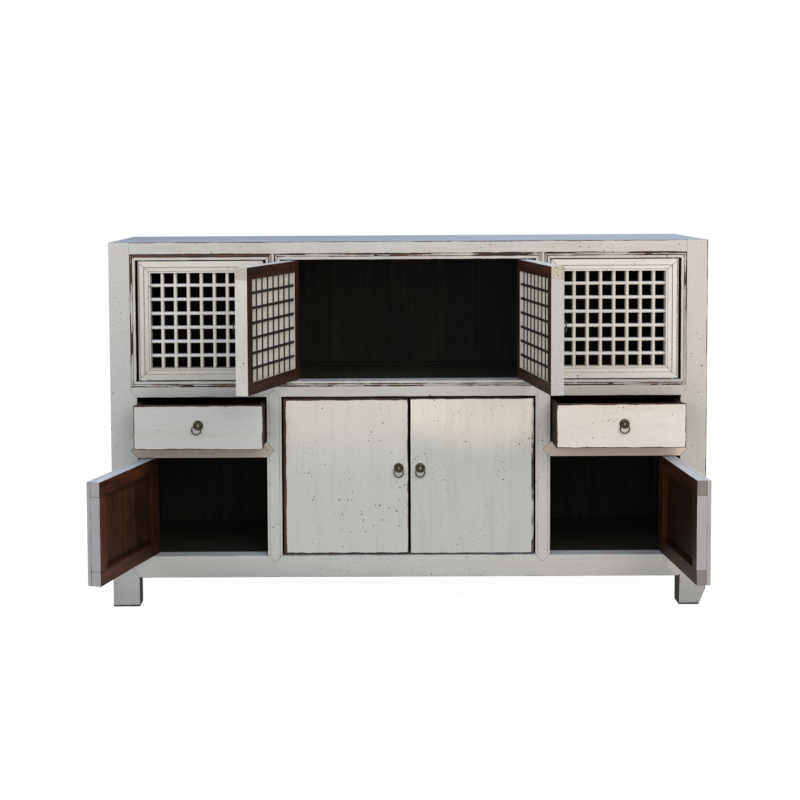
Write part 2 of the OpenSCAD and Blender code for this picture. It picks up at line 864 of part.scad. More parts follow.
module lattice(door) {
  f = up_frame_w;
  x0 = door[5] - up_pivot_in;
  x1 = door[2] - up_pivot_in - f;
  y0 = bar_set - up_pivot_set;
  color(paint) hang(door, up_pivot_in, up_pivot_set) {
    upright_bars(x0, x1, y0, up_door0 + f, up_door1 - f);
    level_bars(x0, x1, y0, up_door0 + f, up_door1 - f);
  }
}

// The frame behind the face board of a panel door
module panel_frame(door, z0, z1, top_gap) {
  x0 = -low_pivot_in;
  x1 = x0 + door[2];
  y0 = face_board_t - low_pivot_set;
  y1 = y0 + back_frame_t;
  color(bare_wood) hang(door, low_pivot_in, low_pivot_set) {
    block([x0, y0, z0], [x0 + low_stile_w, y1, z1]);
    pivot_pins(z0, z1, z0 - z_low0, top_gap);
    block([x1 - low_free_w, y0, z0 + low_rail_w + seam], [x1, y1, z1 - low_rail_w - seam]);
    block([x0 + low_stile_w + seam, y0, z0], [x1, y1, z0 + low_rail_w]);
    block([x0 + low_stile_w + seam, y0, z1 - low_rail_w], [x1, y1, z1]);
  }
}

// The face board of a panel door, with its field inside the frame
module door_panel(door, z0, z1, place) {
  x0 = -low_pivot_in;
  x1 = x0 + door[2];
  y0 = -low_pivot_set;
  y1 = y0 + face_board_t;
  color(paint) hang(door, low_pivot_in, low_pivot_set) difference() {
    union() {
      door_slab(x0, x1, y0, y1, z0, z1);
      block([x0 + low_stile_w, y0 + over, z0 + low_rail_w], [x1 - low_free_w, y1 + field_t, z1 - low_rail_w]);
    }
    shank_hole(x1 - place[0], y0, (z0 + z1) / 2 + place[1]);
  }
}

// How far across the pull of a drawer is
function pull_x(side) = side * x_bay + (side > 0 ? right_pull_across : 0);

// The front board of a drawer
module drawer_front(side, pulled) {
  x_mid = side * x_bay;
  y0 = y_front - pulled;
  color(paint) difference() {
    block([x_mid - drawer_w / 2, y0, drawer0], [x_mid + drawer_w / 2, y0 + drawer_front_t, drawer0 + drawer_front_h]);
    shank_hole(pull_x(side), y0, drawer0 + drawer_front_h / 2 + drawer_pull_up);
  }
}

// The sides, back and bottom of a drawer
module drawer_box(side, pulled) {
  x0 = side * x_bay - drawer_w / 2;
  x1 = x0 + drawer_w;
  t = drawer_side_t;
  y0 = y_front - pulled + drawer_front_t;
  y1 = y_front - pulled + drawer_l;
  z1 = drawer0 + drawer_front_h - drawer_side_drop;
  z_bottom = drawer0 + drawer_bottom_up;
  color(dark_wood) {
    block([x0, y0, drawer0], [x0 + t, y1, z1]);
    block([x1 - t, y0, drawer0], [x1, y1, z1]);
    block([x0 + t + seam, y1 - t, drawer0], [x1 - t - seam, y1, z1]);
    block([x0 + t + seam, y0, z_bottom], [x1 - t - seam, y1 - t - seam, z_bottom + drawer_bottom_t]);
  }
}

// A pull on a face at y0: its ridged plate, and the cotter whose eye holds the ring
module pull(x, y0, z, lean) {
  p = plate_t;
  r = plate_r;
  bore = shank_r + shank_fit;
  color(bronze) translate([x, y0, z]) rotate([90, 0, 0]) rotate_extrude($fn = smooth) polygon([
    [bore, 0], [r, 0], [r, p], [RIM[0] * r, p + ridge_h / 2], [RIM[1] * r, p], [RIDGE[0] * r, p],
    [RIDGE[1] * r, p + ridge_h], [RIDGE[2] * r, p], [BOSS[0] * r, p], [BOSS[1] * r, p + ridge_h], [bore, p + ridge_h]
  ]);
  color(bronze) translate([x, y0, z]) rotate([0, lean, 0]) {
    difference() {
      union() {
        translate([0, shank_l - pin_end, 0]) rotate([90, 0, 0])
          cylinder(r = shank_r, h = shank_l - pin_end + eye_out - (eye_r + eye_hole_r) / 2, $fn = smooth_small);
        translate([-eye_t / 2, -eye_out, 0]) rotate([0, 90, 0]) cylinder(r = eye_r, h = eye_t, $fn = smooth);
      }
      translate([-eye_t, -eye_out, 0]) rotate([0, 90, 0]) cylinder(r = eye_hole_r, h = 2 * eye_t, $fn = smooth);
    }
  }
}

// The ring of a pull, hanging in the eye
module pull_ring(x, y0, z, lean) {
  color(bronze) translate([x, y0, z]) rotate([0, lean, 0]) translate([0, -eye_out, -ring_r]) rotate([90, 0, 0])
    rotate_extrude($fn = smooth) translate([ring_r, 0]) circle(r = wire_r, $fn = smooth_small);
}

// Pulls and rings on their doors and drawers
module up_pull(door) {
  hang(door, up_pivot_in, up_pivot_set)
    pull(door[2] - up_pivot_in - up_frame_w / 2, -up_pivot_set, (up_door0 + up_door1) / 2 + up_pull_up, 0);
}

module up_ring(door) {
  hang(door, up_pivot_in, up_pivot_set)
    pull_ring(door[2] - up_pivot_in - up_frame_w / 2, -up_pivot_set, (up_door0 + up_door1) / 2 + up_pull_up, 0);
}

module low_pull(door, z0, z1, place) {
  hang(door, low_pivot_in, low_pivot_set)
    pull(door[2] - low_pivot_in - place[0], -low_pivot_set, (z0 + z1) / 2 + place[1], 0);
}

module low_ring(door, z0, z1, place) {
  hang(door, low_pivot_in, low_pivot_set)
    pull_ring(door[2] - low_pivot_in - place[0], -low_pivot_set, (z0 + z1) / 2 + place[1], 0);
}

module drawer_pull(side, pulled, lean) {
  pull(pull_x(side), y_front - pulled, drawer0 + drawer_front_h / 2 + drawer_pull_up, lean);
}

module drawer_ring(side, pulled, lean) {
  pull_ring(pull_x(side), y_front - pulled, drawer0 + drawer_front_h / 2 + drawer_pull_up, lean);
}

front_posts();
back_posts();
top_front_rail();
top_frame_rails();
top_panel();
middle_front_rail();
bottom_front_rail();
back_rails();
side_rails();
upper_dividers();
lower_dividers();
drawer_rails();
side_panels();
back_boards();
shelf_boards();
floor_boards();
bearers();
partitions();
drawer_runners();
drawer_guides();
lattice_frame(UPPER_LEFT);  // upper_left_door_frame
lattice(UPPER_LEFT);  // upper_left_door_lattice
up_pull(UPPER_LEFT);  // upper_left_door_pull
up_ring(UPPER_LEFT);  // upper_left_door_ring
lattice_frame(UPPER_CENTRE_LEFT);  // upper_centre_left_door_frame
lattice(UPPER_CENTRE_LEFT);  // upper_centre_left_door_lattice
up_pull(UPPER_CENTRE_LEFT);  // upper_centre_left_door_pull
up_ring(UPPER_CENTRE_LEFT);  // upper_centre_left_door_ring
lattice_frame(UPPER_CENTRE_RIGHT);  // upper_centre_right_door_frame
lattice(UPPER_CENTRE_RIGHT);  // upper_centre_right_door_lattice
up_pull(UPPER_CENTRE_RIGHT);  // upper_centre_right_door_pull
up_ring(UPPER_CENTRE_RIGHT);  // upper_centre_right_door_ring
lattice_frame(UPPER_RIGHT);  // upper_right_door_frame
lattice(UPPER_RIGHT);  // upper_right_door_lattice
up_pull(UPPER_RIGHT);  // upper_right_door_pull
up_ring(UPPER_RIGHT);  // upper_right_door_ring
panel_frame(LOWER_LEFT, low_door0, low_door1, low_gap_top);  // lower_left_door_frame
door_panel(LOWER_LEFT, low_door0, low_door1, OUTER_PULL);  // lower_left_door_panel
low_pull(LOWER_LEFT, low_door0, low_door1, OUTER_PULL);  // lower_left_door_pull
low_ring(LOWER_LEFT, low_door0, low_door1, OUTER_PULL);  // lower_left_door_ring
panel_frame(LOWER_CENTRE_LEFT, centre_door0, centre_door1, centre_gap_top);  // lower_centre_left_door_frame
door_panel(LOWER_CENTRE_LEFT, centre_door0, centre_door1, CENTRE_PULL);  // lower_centre_left_door_panel
low_pull(LOWER_CENTRE_LEFT, centre_door0, centre_door1, CENTRE_PULL);  // lower_centre_left_door_pull
low_ring(LOWER_CENTRE_LEFT, centre_door0, centre_door1, CENTRE_PULL);  // lower_centre_left_door_ring
panel_frame(LOWER_CENTRE_RIGHT, centre_door0, centre_door1, centre_gap_top);  // lower_centre_right_door_frame
door_panel(LOWER_CENTRE_RIGHT, centre_door0, centre_door1, CENTRE_PULL);  // lower_centre_right_door_panel
low_pull(LOWER_CENTRE_RIGHT, centre_door0, centre_door1, CENTRE_PULL);  // lower_centre_right_door_pull
low_ring(LOWER_CENTRE_RIGHT, centre_door0, centre_door1, CENTRE_PULL);  // lower_centre_right_door_ring
panel_frame(LOWER_RIGHT, low_door0, low_door1, low_gap_top);  // lower_right_door_frame
door_panel(LOWER_RIGHT, low_door0, low_door1, OUTER_PULL);  // lower_right_door_panel
low_pull(LOWER_RIGHT, low_door0, low_door1, OUTER_PULL);  // lower_right_door_pull
low_ring(LOWER_RIGHT, low_door0, low_door1, OUTER_PULL);  // lower_right_door_ring
drawer_front(-1, left_pulled);  // left_drawer_front
drawer_box(-1, left_pulled);  // left_drawer_box
drawer_pull(-1, left_pulled, ring_lean);  // left_drawer_pull
drawer_ring(-1, left_pulled, ring_lean);  // left_drawer_ring
drawer_front(1, right_pulled);  // right_drawer_front
drawer_box(1, right_pulled);  // right_drawer_box
drawer_pull(1, right_pulled, 0);  // right_drawer_pull
drawer_ring(1, right_pulled, 0);  // right_drawer_ring
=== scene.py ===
"""Looks of a worn painted kitchen cupboard with lattice doors, drawers, plain doors and ring pulls.

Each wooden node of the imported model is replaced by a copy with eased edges. Its faces know how far they lie
from the edges of their board and which way its grain runs, and the finishes read that, so the paint is rubbed
through along the edges of every board and the streaks follow the wood.
"""

from __future__ import annotations

import json
import logging
import math
import random
from collections.abc import Callable, Iterable, Sequence
from dataclasses import dataclass, field
from enum import Enum
from functools import partial

import bmesh
import bpy
from mathutils import Matrix, Vector

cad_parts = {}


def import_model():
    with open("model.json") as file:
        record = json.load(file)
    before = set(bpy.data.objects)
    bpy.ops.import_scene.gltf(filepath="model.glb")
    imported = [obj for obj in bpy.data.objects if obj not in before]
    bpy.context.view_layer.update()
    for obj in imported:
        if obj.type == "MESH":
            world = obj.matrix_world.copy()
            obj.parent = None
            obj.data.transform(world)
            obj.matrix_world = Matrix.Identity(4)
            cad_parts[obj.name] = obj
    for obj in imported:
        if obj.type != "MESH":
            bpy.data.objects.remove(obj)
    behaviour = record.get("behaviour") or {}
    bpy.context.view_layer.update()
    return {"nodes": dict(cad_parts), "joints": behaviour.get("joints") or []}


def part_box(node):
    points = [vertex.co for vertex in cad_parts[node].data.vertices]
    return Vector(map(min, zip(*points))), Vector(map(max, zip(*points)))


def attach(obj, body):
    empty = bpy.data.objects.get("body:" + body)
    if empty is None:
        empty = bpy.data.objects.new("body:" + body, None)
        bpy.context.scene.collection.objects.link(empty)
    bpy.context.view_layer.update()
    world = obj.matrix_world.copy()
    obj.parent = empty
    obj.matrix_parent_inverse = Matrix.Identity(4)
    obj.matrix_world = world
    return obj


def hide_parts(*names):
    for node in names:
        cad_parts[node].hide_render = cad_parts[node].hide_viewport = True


LOG = logging.getLogger("cupboard")
MM = 0.001
# Corners closer than this are one
MERGE = 0.02 * MM
# Faces that differ by less are one, and edges that turn by more are rounded, square ones twice where asked
FLAT_ANGLE = math.radians(1)
SHARP_ANGLE = math.radians(25)
SQUARE_ANGLE = math.radians(60)
# A board longer than this many times its width is slender: a post, rail or stile
SLENDER = 3.6
# A distance from an edge that no wear reaches, and that of the dark line where two members meet
FAR_MM = 500.0
JOINT_LINE_MM = 3.0
# How far apart in one tree boards are cut, in metres
TREE = 5.0
# How far a cut lies past the member's edge, so that it doesn't graze it
HAIR = 0.05 * MM
# A face looks along a direction from the first share of its normal, and an edge slants from the second
FACING = 0.7
SLANTING = 0.3
ROUNDED = "rounded"
# How far the lattice doors stand open, in degrees
LATTICE_TURNS = {
    "upper_left": 0.0, "upper_centre_left": -110.0, "upper_centre_right": 98.5, "upper_right": 0.0,
}


@dataclass(frozen=True)
class Skin:
    """How a face is finished.

    It has its finish's number in the piece's list, how far it is rubbed through, from 0 to 1, how widely its
    edges are worn, where 1 is usual, and how far from an edge a scratched line runs, in millimetres, or 0 for
    none. The line runs along the high sides, or along the low ones where it's below 0. A bounded face counts
    the ends of a slender board as edges, and a mitred one shows its slanting sides as a fine dark joint."""

    finish: int = 0
    rub: float = 0.0
    wear: float = 0.0
    line_mm: float = 0.0
    bounded: bool = False
    mitred: bool = False


Coat = Callable[[Vector, Vector], Skin]
Material = bpy.types.Material
Node = bpy.types.Node
Socket = bpy.types.NodeSocket
Separate = bpy.types.bpy_prop_collection
Triple = tuple[float, float, float]
Axes = tuple[Vector, Vector, Vector]
Faces = set[bmesh.types.BMFace]


class Kind(Enum):
    """The kinds of node that are used.

    Each has Blender's name after ShaderNode, its usual settings, the sockets that its values go into, and the
    output that is read."""

    PLUS = "Math", {"operation": "ADD"}
    LESS = "Math", {"operation": "SUBTRACT"}
    TIMES = "Math", {"operation": "MULTIPLY"}
    LEAST = "Math", {"operation": "MINIMUM"}
    MOST = "Math", {"operation": "MAXIMUM"}
    SIZE = "Math", {"operation": "ABSOLUTE"}
    RAMP = "MapRange", {"interpolation_type": "SMOOTHSTEP"}
    MIX = "Mix", {"data_type": "RGBA"}, (0, 6, 7), 2
    PLACE = "TexCoord", {}, (), "Object"
    LAYER = "Attribute", {}, (), "Vector"
    NUMBER = "Attribute", {}, (), "Fac"
    SPLIT = "SeparateXYZ"
    HUES = "SeparateColor"
    STRETCH = "VectorMath", {"operation": "MULTIPLY"}
    NOISE = "TexNoise"
    CELLS = "TexVoronoi"
    CRACKS = "TexVoronoi", {"feature": "DISTANCE_TO_EDGE"}, (), "Distance"
    BUMP = "Bump"
    SURFACE = "BsdfPrincipled"
    MATT = "BsdfDiffuse"
    GLOW = "Emission"
    BLEND = "MixShader"
    MATERIAL = "OutputMaterial"
    RAYS = "LightPath"
    SKY = "Background"
    WORLD = "OutputWorld"

    def __init__(
        self, node: str, settings: dict | None = None, sockets: Sequence[int] = range(5),
        output: int | str = 0,
    ) -> None:
        """Keeps the parts of its value by name.

        Args:
            node: Blender's name after ShaderNode.
            settings: The settings that it always has.
            sockets: The sockets that its values go into.
            output: The output that is read.
        """
        self.node = node
        self.settings = settings or {}
        self.sockets = sockets
        self.output = output


class Slot(Enum):
    """The record's material slots."""

    PAINT = "painted_wood"
    BARE = "bare_wood"
    DARK = "dark_wood"
    TOP = "top_paint"
    BRONZE = "bronze"


class Grain(Enum):
    """Which way a board's grain runs: along its longest side, or upright, its third direction."""

    LONGEST = -1
    UP = 2


def linear(colour: str) -> tuple[float, float, float, float]:
    """Turns an sRGB hex value into a linear colour.

    Args:
        colour: The value, such as "#cbc6bc".

    Returns:
        Red, green, blue and alpha, with alpha 1.
    """
    parts = [int(colour[i : i + 2], 16) / 255 for i in (1, 3, 5)]
    red, green, blue = (c / 12.92 if c <= 0.04045 else ((c + 0.055) / 1.055) ** 2.4 for c in parts)
    return red, green, blue, 1.0


def span(corners: Iterable[bmesh.types.BMVert], axis: Vector) -> float:
    """Gives how far some corners reach along a direction."""
    places = [v.co @ axis for v in corners]
    return max(places) - min(places)


def add_node(tree: bpy.types.NodeTree, kind: Kind, *values, links: dict | None = None, **settings) -> Node:
    """Adds a node with its settings and links.

    Args:
        tree: The tree that gets it.
        kind: The kind of node, with the settings that it always has.
        values: What goes into its sockets, in order: another node's socket, a number, or a hex colour.
        links: The same, by the sockets' names.
        settings: Its other properties.

    Returns:
        The node.
    """
    node = tree.nodes.new(f"ShaderNode{kind.node}")
    for name, value in {**kind.settings, **settings}.items():
        setattr(node, name, value)
    for key, value in {**dict(zip(kind.sockets, values)), **(links or {})}.items():
        if isinstance(value, Socket):
            tree.links.new(value, node.inputs[key])
        else:
            node.inputs[key].default_value = linear(value) if isinstance(value, str) else value
    return node


@dataclass
class Shader:
    """A material's tree while it is made, with short ways to the nodes that every finish uses."""

    name: str
    material: Material = field(init=False)
    tree: bpy.types.NodeTree = field(init=False)

    def __post_init__(self) -> None:
        """Starts an empty material."""
        self.material = bpy.data.materials.new(self.name)
        self.material.use_nodes = True
        self.tree = self.material.node_tree
        self.tree.nodes.clear()

    def add(self, kind: Kind, *values, links: dict | None = None, **settings) -> Socket:
        """Adds a node and returns the output that its kind is used for."""
        return add_node(self.tree, kind, *values, links=links, **settings).outputs[kind.output]

    def mottle(self, place: Socket, size_mm: Triple, detail: float = 3.0, rough: float = 0.55) -> Socket:
        """Adds a soft mottling.

        Args:
            place: Where it is read.
            size_mm: How large its spots are in each direction, in millimetres.
            detail: How many finer ones lie in it.
            rough: How strong they are.

        Returns:
            Its strength, from 0 to 1.
        """
        spot = self.add(Kind.STRETCH, place, [1.0 / (size * MM) for size in size_mm])
        links = {"Vector": spot, "Scale": 1.0, "Detail": detail, "Roughness": rough}
        return self.add(Kind.NOISE, links=links)

    def centred(self, noise: Socket, strength: float = 1.0) -> Socket:
        """Moves a noise about 0 and scales it."""
        return self.add(Kind.TIMES, self.add(Kind.LESS, noise, 0.5), strength)

    def measured(self) -> tuple[Socket, Separate, Separate]:
        """Reads the board's own coordinates and the distances from a face's edges.

        Returns:
            The coordinates, the distances from the low sides with the rubbing, and those from the high sides
            with the wear.
        """
        pairs = [self.add(Kind.LAYER, attribute_name=name) for name in ("near", "far")]
        near, far = (add_node(self.tree, Kind.SPLIT, pair).outputs for pair in pairs)
        return self.add(Kind.LAYER, attribute_name="board"), near, far

    def nearest(self, near: Separate, far: Separate) -> Socket:
        """Gives the distance from the nearest edge of the face, in millimetres."""
        low, high = (self.add(Kind.LEAST, pair[0], pair[1]) for pair in (near, far))
        return self.add(Kind.LEAST, low, high)

    def scratch(self, near: Separate, far: Separate) -> Socket:
        """Masks the line at the face's own distance from its high or low sides, and its mitred joints.

        Args:
            near: The distances from the low sides.
            far: The distances from the high sides.

        Returns:
            The mask.
        """
        line = self.add(Kind.NUMBER, attribute_name="line")
        masks = []
        for pair, sign in ((far, 1.0), (near, -1.0)):
            side = self.add(Kind.TIMES, line, sign)
            edge = self.add(Kind.LEAST, pair[0], pair[1])
            off = self.add(Kind.SIZE, self.add(Kind.LESS, edge, side))
            ink = self.add(Kind.RAMP, off, 0.3, 1.1, 1.0, 0.0)
            masks.append(self.add(Kind.TIMES, ink, self.add(Kind.RAMP, side, 0.5, 1.0)))
        ends = add_node(self.tree, Kind.SPLIT, self.add(Kind.LAYER, attribute_name="mitre")).outputs
        joint = self.add(Kind.RAMP, self.add(Kind.LEAST, ends[0], ends[1]), 0.5, 1.0, 0.8, 0.0)
        joint = self.add(Kind.TIMES, joint, self.add(Kind.RAMP, ends[2], 0.4, 0.6))
        return self.add(Kind.MOST, self.add(Kind.MOST, *masks), joint)

    def finish(self, links: dict, height: Socket, bump_mm: float) -> Material:
        """Closes the material with a principled surface and a bump.

        Args:
            links: The surface's sockets.
            height: The relief, from 0 to 1.
            bump_mm: How deep the relief is.

        Returns:
            The material.
        """
        normal = self.add(Kind.BUMP, links={"Height": height, "Strength": 1.0, "Distance": bump_mm * MM})
        surface = self.add(Kind.SURFACE, links={**links, "Normal": normal})
        add_node(self.tree, Kind.MATERIAL, surface)
        return self.material


@dataclass(frozen=True)
class Lacquer:
    """Old oil lacquer brushed on elm.

    To the eye it is satin and even, with faint streaks along the grain, small dark pits in clusters, a brown
    wavy line of bare wood along the edges that hands and knocks reach, and a pale painted highlight beside
    it.
    It is lighter and warmer higher up and to the right, which is painted light, or from one height to another
    where warm_to is set, and greyer and darker at the feet."""

    name: str
    warm: str = "#d2cac3"
    cool: str = "#bcbdb9"
    grime: str = "#8f877b"
    # Colour towards the feet, which are greyer and darker
    foot_grey: str = "#7b7d80"
    wood: str = "#523019"
    wood_dark: str = "#20100a"
    # Colour of the painted highlight along the edges of the sound paint
    edge_highlight: str = "#efebe3"
    furrow: str = "#51453b"
    worn_mm: float = 2.4
    gloss: float = 0.36
    shine: float = 0.4
    pits: float = 1.0
    crackle: float = 0.0
    warm_from: float = 0.0
    warm_to: float = 0.0
    relief_mm: float = 0.24

    def build(self) -> Material:
        """Makes the material.

        Returns:
            The material.
        """
        s = Shader(self.name)
        board, near, far = s.measured()
        place = s.add(Kind.PLACE)
        ragged = s.mottle(board, (9.0, 6.2, 6.2), 3.0, 0.6)
        past = self.past_wear(s, board, near, far, ragged)
        worn = s.add(Kind.RAMP, past, -0.3, 0.3, 1.0, 0.0)
        # Painted highlight: pale paint just past the worn border, where a lit edge would shine
        edge_highlight = s.add(Kind.TIMES, s.add(Kind.RAMP, past, 0.4, 1.8, 0.24, 0.0), s.add(Kind.LESS, 1.0, worn))
        # Pits of old worm holes and knocks, a few of them black and many more filled with paint
        crowd = s.mottle(board, (140.0, 100.0, 100.0), 3.0)
        pit = self.spots(s, board, 9.0, 0.74, 0.25, s.add(Kind.RAMP, crowd, 0.40, 0.58, 0.3, 1.0))
        speck = self.spots(s, board, 5.5, 0.25, 0.30, s.add(Kind.RAMP, crowd, 0.40, 0.60, 0.4, 1.0))
        # Brush marks a millimetre apart, drawn at 4 mm so that they show, and the grain under them
        fine = s.mottle(board, (110.0, 4.2, 4.2), 4.0, 0.55)
        broad = s.mottle(board, (450.0, 30.0, 30.0), 3.0)
        colour = s.add(Kind.MIX, edge_highlight, self.ground(s, place, fine, broad), self.edge_highlight)
        scratch = s.scratch(near, far)
        ink = s.add(Kind.TIMES, scratch, s.add(Kind.RAMP, ragged, 0.3, 0.6, 0.6, 1.0))
        colour = s.add(Kind.MIX, ink, colour, self.furrow)
        if self.crackle:
            links = {"Vector": board, "Scale": 1.0 / (self.crackle * MM)}
            cells = s.add(Kind.CRACKS, links=links)
            colour = s.add(Kind.MIX, s.add(Kind.RAMP, cells, 0.02, 0.12, 0.5, 0.0), colour, self.furrow)
        colour = s.add(Kind.MIX, s.add(Kind.TIMES, speck, 0.46 * self.pits), colour, self.furrow)
        grain = s.mottle(board, (80.0, 5.0, 5.0), 4.0)
        under = s.add(Kind.MIX, s.add(Kind.RAMP, grain, 0.38, 0.60), self.wood_dark, self.wood)
        colour = s.add(Kind.MIX, worn, colour, under)
        colour = s.add(Kind.MIX, s.add(Kind.TIMES, pit, self.pits), colour, self.wood_dark)
        # The feet are bare and black for the last millimetres above the floor
        level = add_node(s.tree, Kind.SPLIT, place).outputs[2]
        level = s.add(Kind.LESS, level, s.add(Kind.TIMES, ragged, 6 * MM))
        colour = s.add(Kind.MIX, s.add(Kind.RAMP, level, 1 * MM, 4 * MM, 1.0, 0.0), colour, self.wood_dark)
        gone = s.add(Kind.MOST, worn, pit)
        rough = s.add(Kind.PLUS, s.add(Kind.TIMES, gone, 0.36), self.gloss)
        rough = s.add(Kind.PLUS, rough, s.centred(broad, 0.2))
        height = s.add(Kind.LESS, 1.0, s.add(Kind.MOST, gone, s.add(Kind.TIMES, speck, 0.5)))
        height = s.add(Kind.LESS, height, s.add(Kind.TIMES, fine, 0.16))
        height = s.add(Kind.LESS, height, s.add(Kind.TIMES, scratch, 1.2))
        ripple = s.mottle(board, (50.0, 30.0, 30.0), 2.0)
        height = s.add(Kind.PLUS, height, s.add(Kind.TIMES, ripple, 0.6))
        surface = {"Base Color": colour, "Roughness": rough, "IOR": 1.5, "Specular IOR Level": self.shine}
        return s.finish(surface, height, self.relief_mm)

    def past_wear(
        self, s: Shader, board: Socket, near: Separate, far: Separate, ragged: Socket
    ) -> Socket:
        """Gives how far a point lies past the border of the worn wood.

        Wear comes and goes over a hand's width, and its border wanders by a millimetre. A face that is rubbed
        has streaks of bare wood all over it.

        Args:
            s: The shader.
            board: The board's own coordinates.
            near: The distances from the low sides, and the rubbing.
            far: The distances from the high sides, and the wear.
            ragged: The fine noise that the border follows.

        Returns:
            The distance in millimetres, below 0 on bare wood.
        """
        rub, wear = near[2], far[2]
        patches = s.mottle(board, (60.0, 33.0, 33.0), 3.0, 0.55)
        reach = s.add(Kind.PLUS, s.add(Kind.RAMP, patches, 0.32, 0.68, 0.45, 1.15), s.centred(ragged, 0.6))
        reach = s.add(Kind.LESS, s.add(Kind.TIMES, reach, s.add(Kind.TIMES, wear, self.worn_mm)), 0.5)
        streaks = s.mottle(board, (130.0, 16.0, 16.0), 3.0, 0.5)
        rubbed = s.add(Kind.PLUS, s.centred(streaks, 2.2), s.add(Kind.LESS, rub, 0.5))
        rubbed = s.add(Kind.TIMES, s.add(Kind.TIMES, rubbed, 30.0), s.add(Kind.RAMP, rub, 0.02, 0.1))
        reach = s.add(Kind.PLUS, reach, s.add(Kind.MOST, rubbed, 0.0))
        return s.add(Kind.LESS, s.nearest(near, far), reach)

    def ground(self, s: Shader, place: Socket, fine: Socket, broad: Socket) -> Socket:
        """Colours the sound lacquer.

        Args:
            s: The shader.
            place: The place on the cupboard, in metres.
            fine: The brush marks.
            broad: The grain under them.

        Returns:
            The colour.
        """
        spot = add_node(s.tree, Kind.SPLIT, place).outputs
        drift = s.centred(s.mottle(place, (420.0, 420.0, 420.0), 3.0))
        # From cool to warm: by height alone where warm_to is set, and otherwise lighter and warmer higher up
        # and to the right, which is painted light
        if self.warm_to:
            level = s.add(Kind.PLUS, spot[2], s.add(Kind.TIMES, drift, 0.16))
            warmth = s.add(Kind.RAMP, level, self.warm_from, self.warm_to)
        else:
            warmth = s.add(Kind.PLUS, s.add(Kind.TIMES, spot[0], 0.50), s.add(Kind.TIMES, spot[2], 0.62))
            warmth = s.add(Kind.PLUS, s.add(Kind.PLUS, warmth, drift), -0.06, use_clamp=True)
        colour = s.add(Kind.MIX, warmth, self.cool, self.warm)
        colour = s.add(Kind.MIX, s.add(Kind.RAMP, fine, 0.48, 0.78, 0.0, 0.15), colour, self.grime)
        colour = s.add(Kind.MIX, s.add(Kind.RAMP, broad, 0.48, 0.76, 0.0, 0.12), colour, self.grime)
        # Greyer and darker towards the feet
        level = s.add(Kind.PLUS, spot[2], s.add(Kind.TIMES, drift, 0.1))
        return s.add(Kind.MIX, s.add(Kind.RAMP, level, 0.03, 0.15, 0.5, 0.0), colour, self.foot_grey)

    @staticmethod
    def spots(
        s: Shader, board: Socket, cell_mm: float, rare: float, size: float, gate: Socket
    ) -> Socket:
        """Scatters round spots of mixed sizes.

        Args:
            s: The shader.
            board: The board's own coordinates.
            cell_mm: How far apart the places for a spot lie.
            rare: The share of the places that stay empty.
            size: The largest spot's radius, as a share of the distance between places.
            gate: Where there are many, from 0 to 1.

        Returns:
            The spots' mask.
        """
        links = {"Vector": board, "Scale": 1.0 / (cell_mm * MM), "Randomness": 1.0}
        cells = add_node(s.tree, Kind.CELLS, links=links)
        chance = s.add(Kind.HUES, cells.outputs["Color"])
        radius = s.add(Kind.TIMES, s.add(Kind.RAMP, chance, rare, 1.0, 0.0, size), gate)
        soft = 0.3 / cell_mm
        return s.add(Kind.RAMP, s.add(Kind.LESS, cells.outputs["Distance"], radius), -soft, soft, 1.0, 0.0)


@dataclass(frozen=True)
class Timber:
    """Planed elm, never painted.

    To the eye it is brown darkened by age and handling, with open pores along the grain, and almost black
    towards the edges of each board. Towards the hinge of an open door it is darker with painted shade."""

    name: str
    light: str
    mid: str
    dark: str
    rough: float = 0.5
    edge_dark_mm: float = 16.0
    hinge_shade: float = 0.0
    sheen: float = 0.13
    relief_mm: float = 0.25

    def build(self) -> Material:
        """Makes the material.

        Returns:
            The material.
        """
        s = Shader(self.name)
        board, near, far = s.measured()
        place = s.add(Kind.PLACE)
        # Growth rings, and pores a fifth of a millimetre wide, which are drawn at 2 mm so that they show
        bands = s.mottle(board, (330.0, 21.0, 21.0), 4.0, 0.6)
        fibre = s.mottle(board, (70.0, 2.1, 2.1), 4.0, 0.65)
        stain = s.mottle(board, (200.0, 110.0, 110.0), 3.0)
        colour = s.add(Kind.MIX, s.add(Kind.RAMP, bands, 0.36, 0.66), self.mid, self.light)
        colour = s.add(Kind.MIX, s.add(Kind.RAMP, fibre, 0.46, 0.72, 0.0, 0.75), colour, self.dark)
        colour = s.add(Kind.MIX, s.add(Kind.RAMP, stain, 0.44, 0.70, 0.0, 0.7), colour, self.dark)
        # Darker towards the edges of each face
        off = s.add(Kind.PLUS, s.nearest(near, far), s.add(Kind.TIMES, stain, 14.0))
        darkening = s.add(Kind.RAMP, off, 4.0, self.edge_dark_mm, 0.75, 0.0)
        colour = s.add(Kind.MIX, darkening, colour, self.dark)
        # Painted shade: darker towards the hinge of an open door, near the cupboard's front
        depth = add_node(s.tree, Kind.SPLIT, place).outputs[1]
        depth = s.add(Kind.LESS, depth, s.add(Kind.TIMES, stain, 0.06))
        inner = s.add(Kind.RAMP, depth, -0.44, -0.25, 0.0, self.hinge_shade)
        colour = s.add(Kind.MIX, inner, colour, self.dark)
        rough = s.add(Kind.PLUS, s.add(Kind.TIMES, fibre, 0.2), self.rough - 0.1)
        height = s.add(Kind.PLUS, s.add(Kind.TIMES, fibre, -0.7), s.add(Kind.TIMES, bands, 0.6))
        surface = {"Base Color": colour, "Roughness": rough, "IOR": 1.45, "Specular IOR Level": self.sheen}
        return s.finish(surface, height, self.relief_mm)


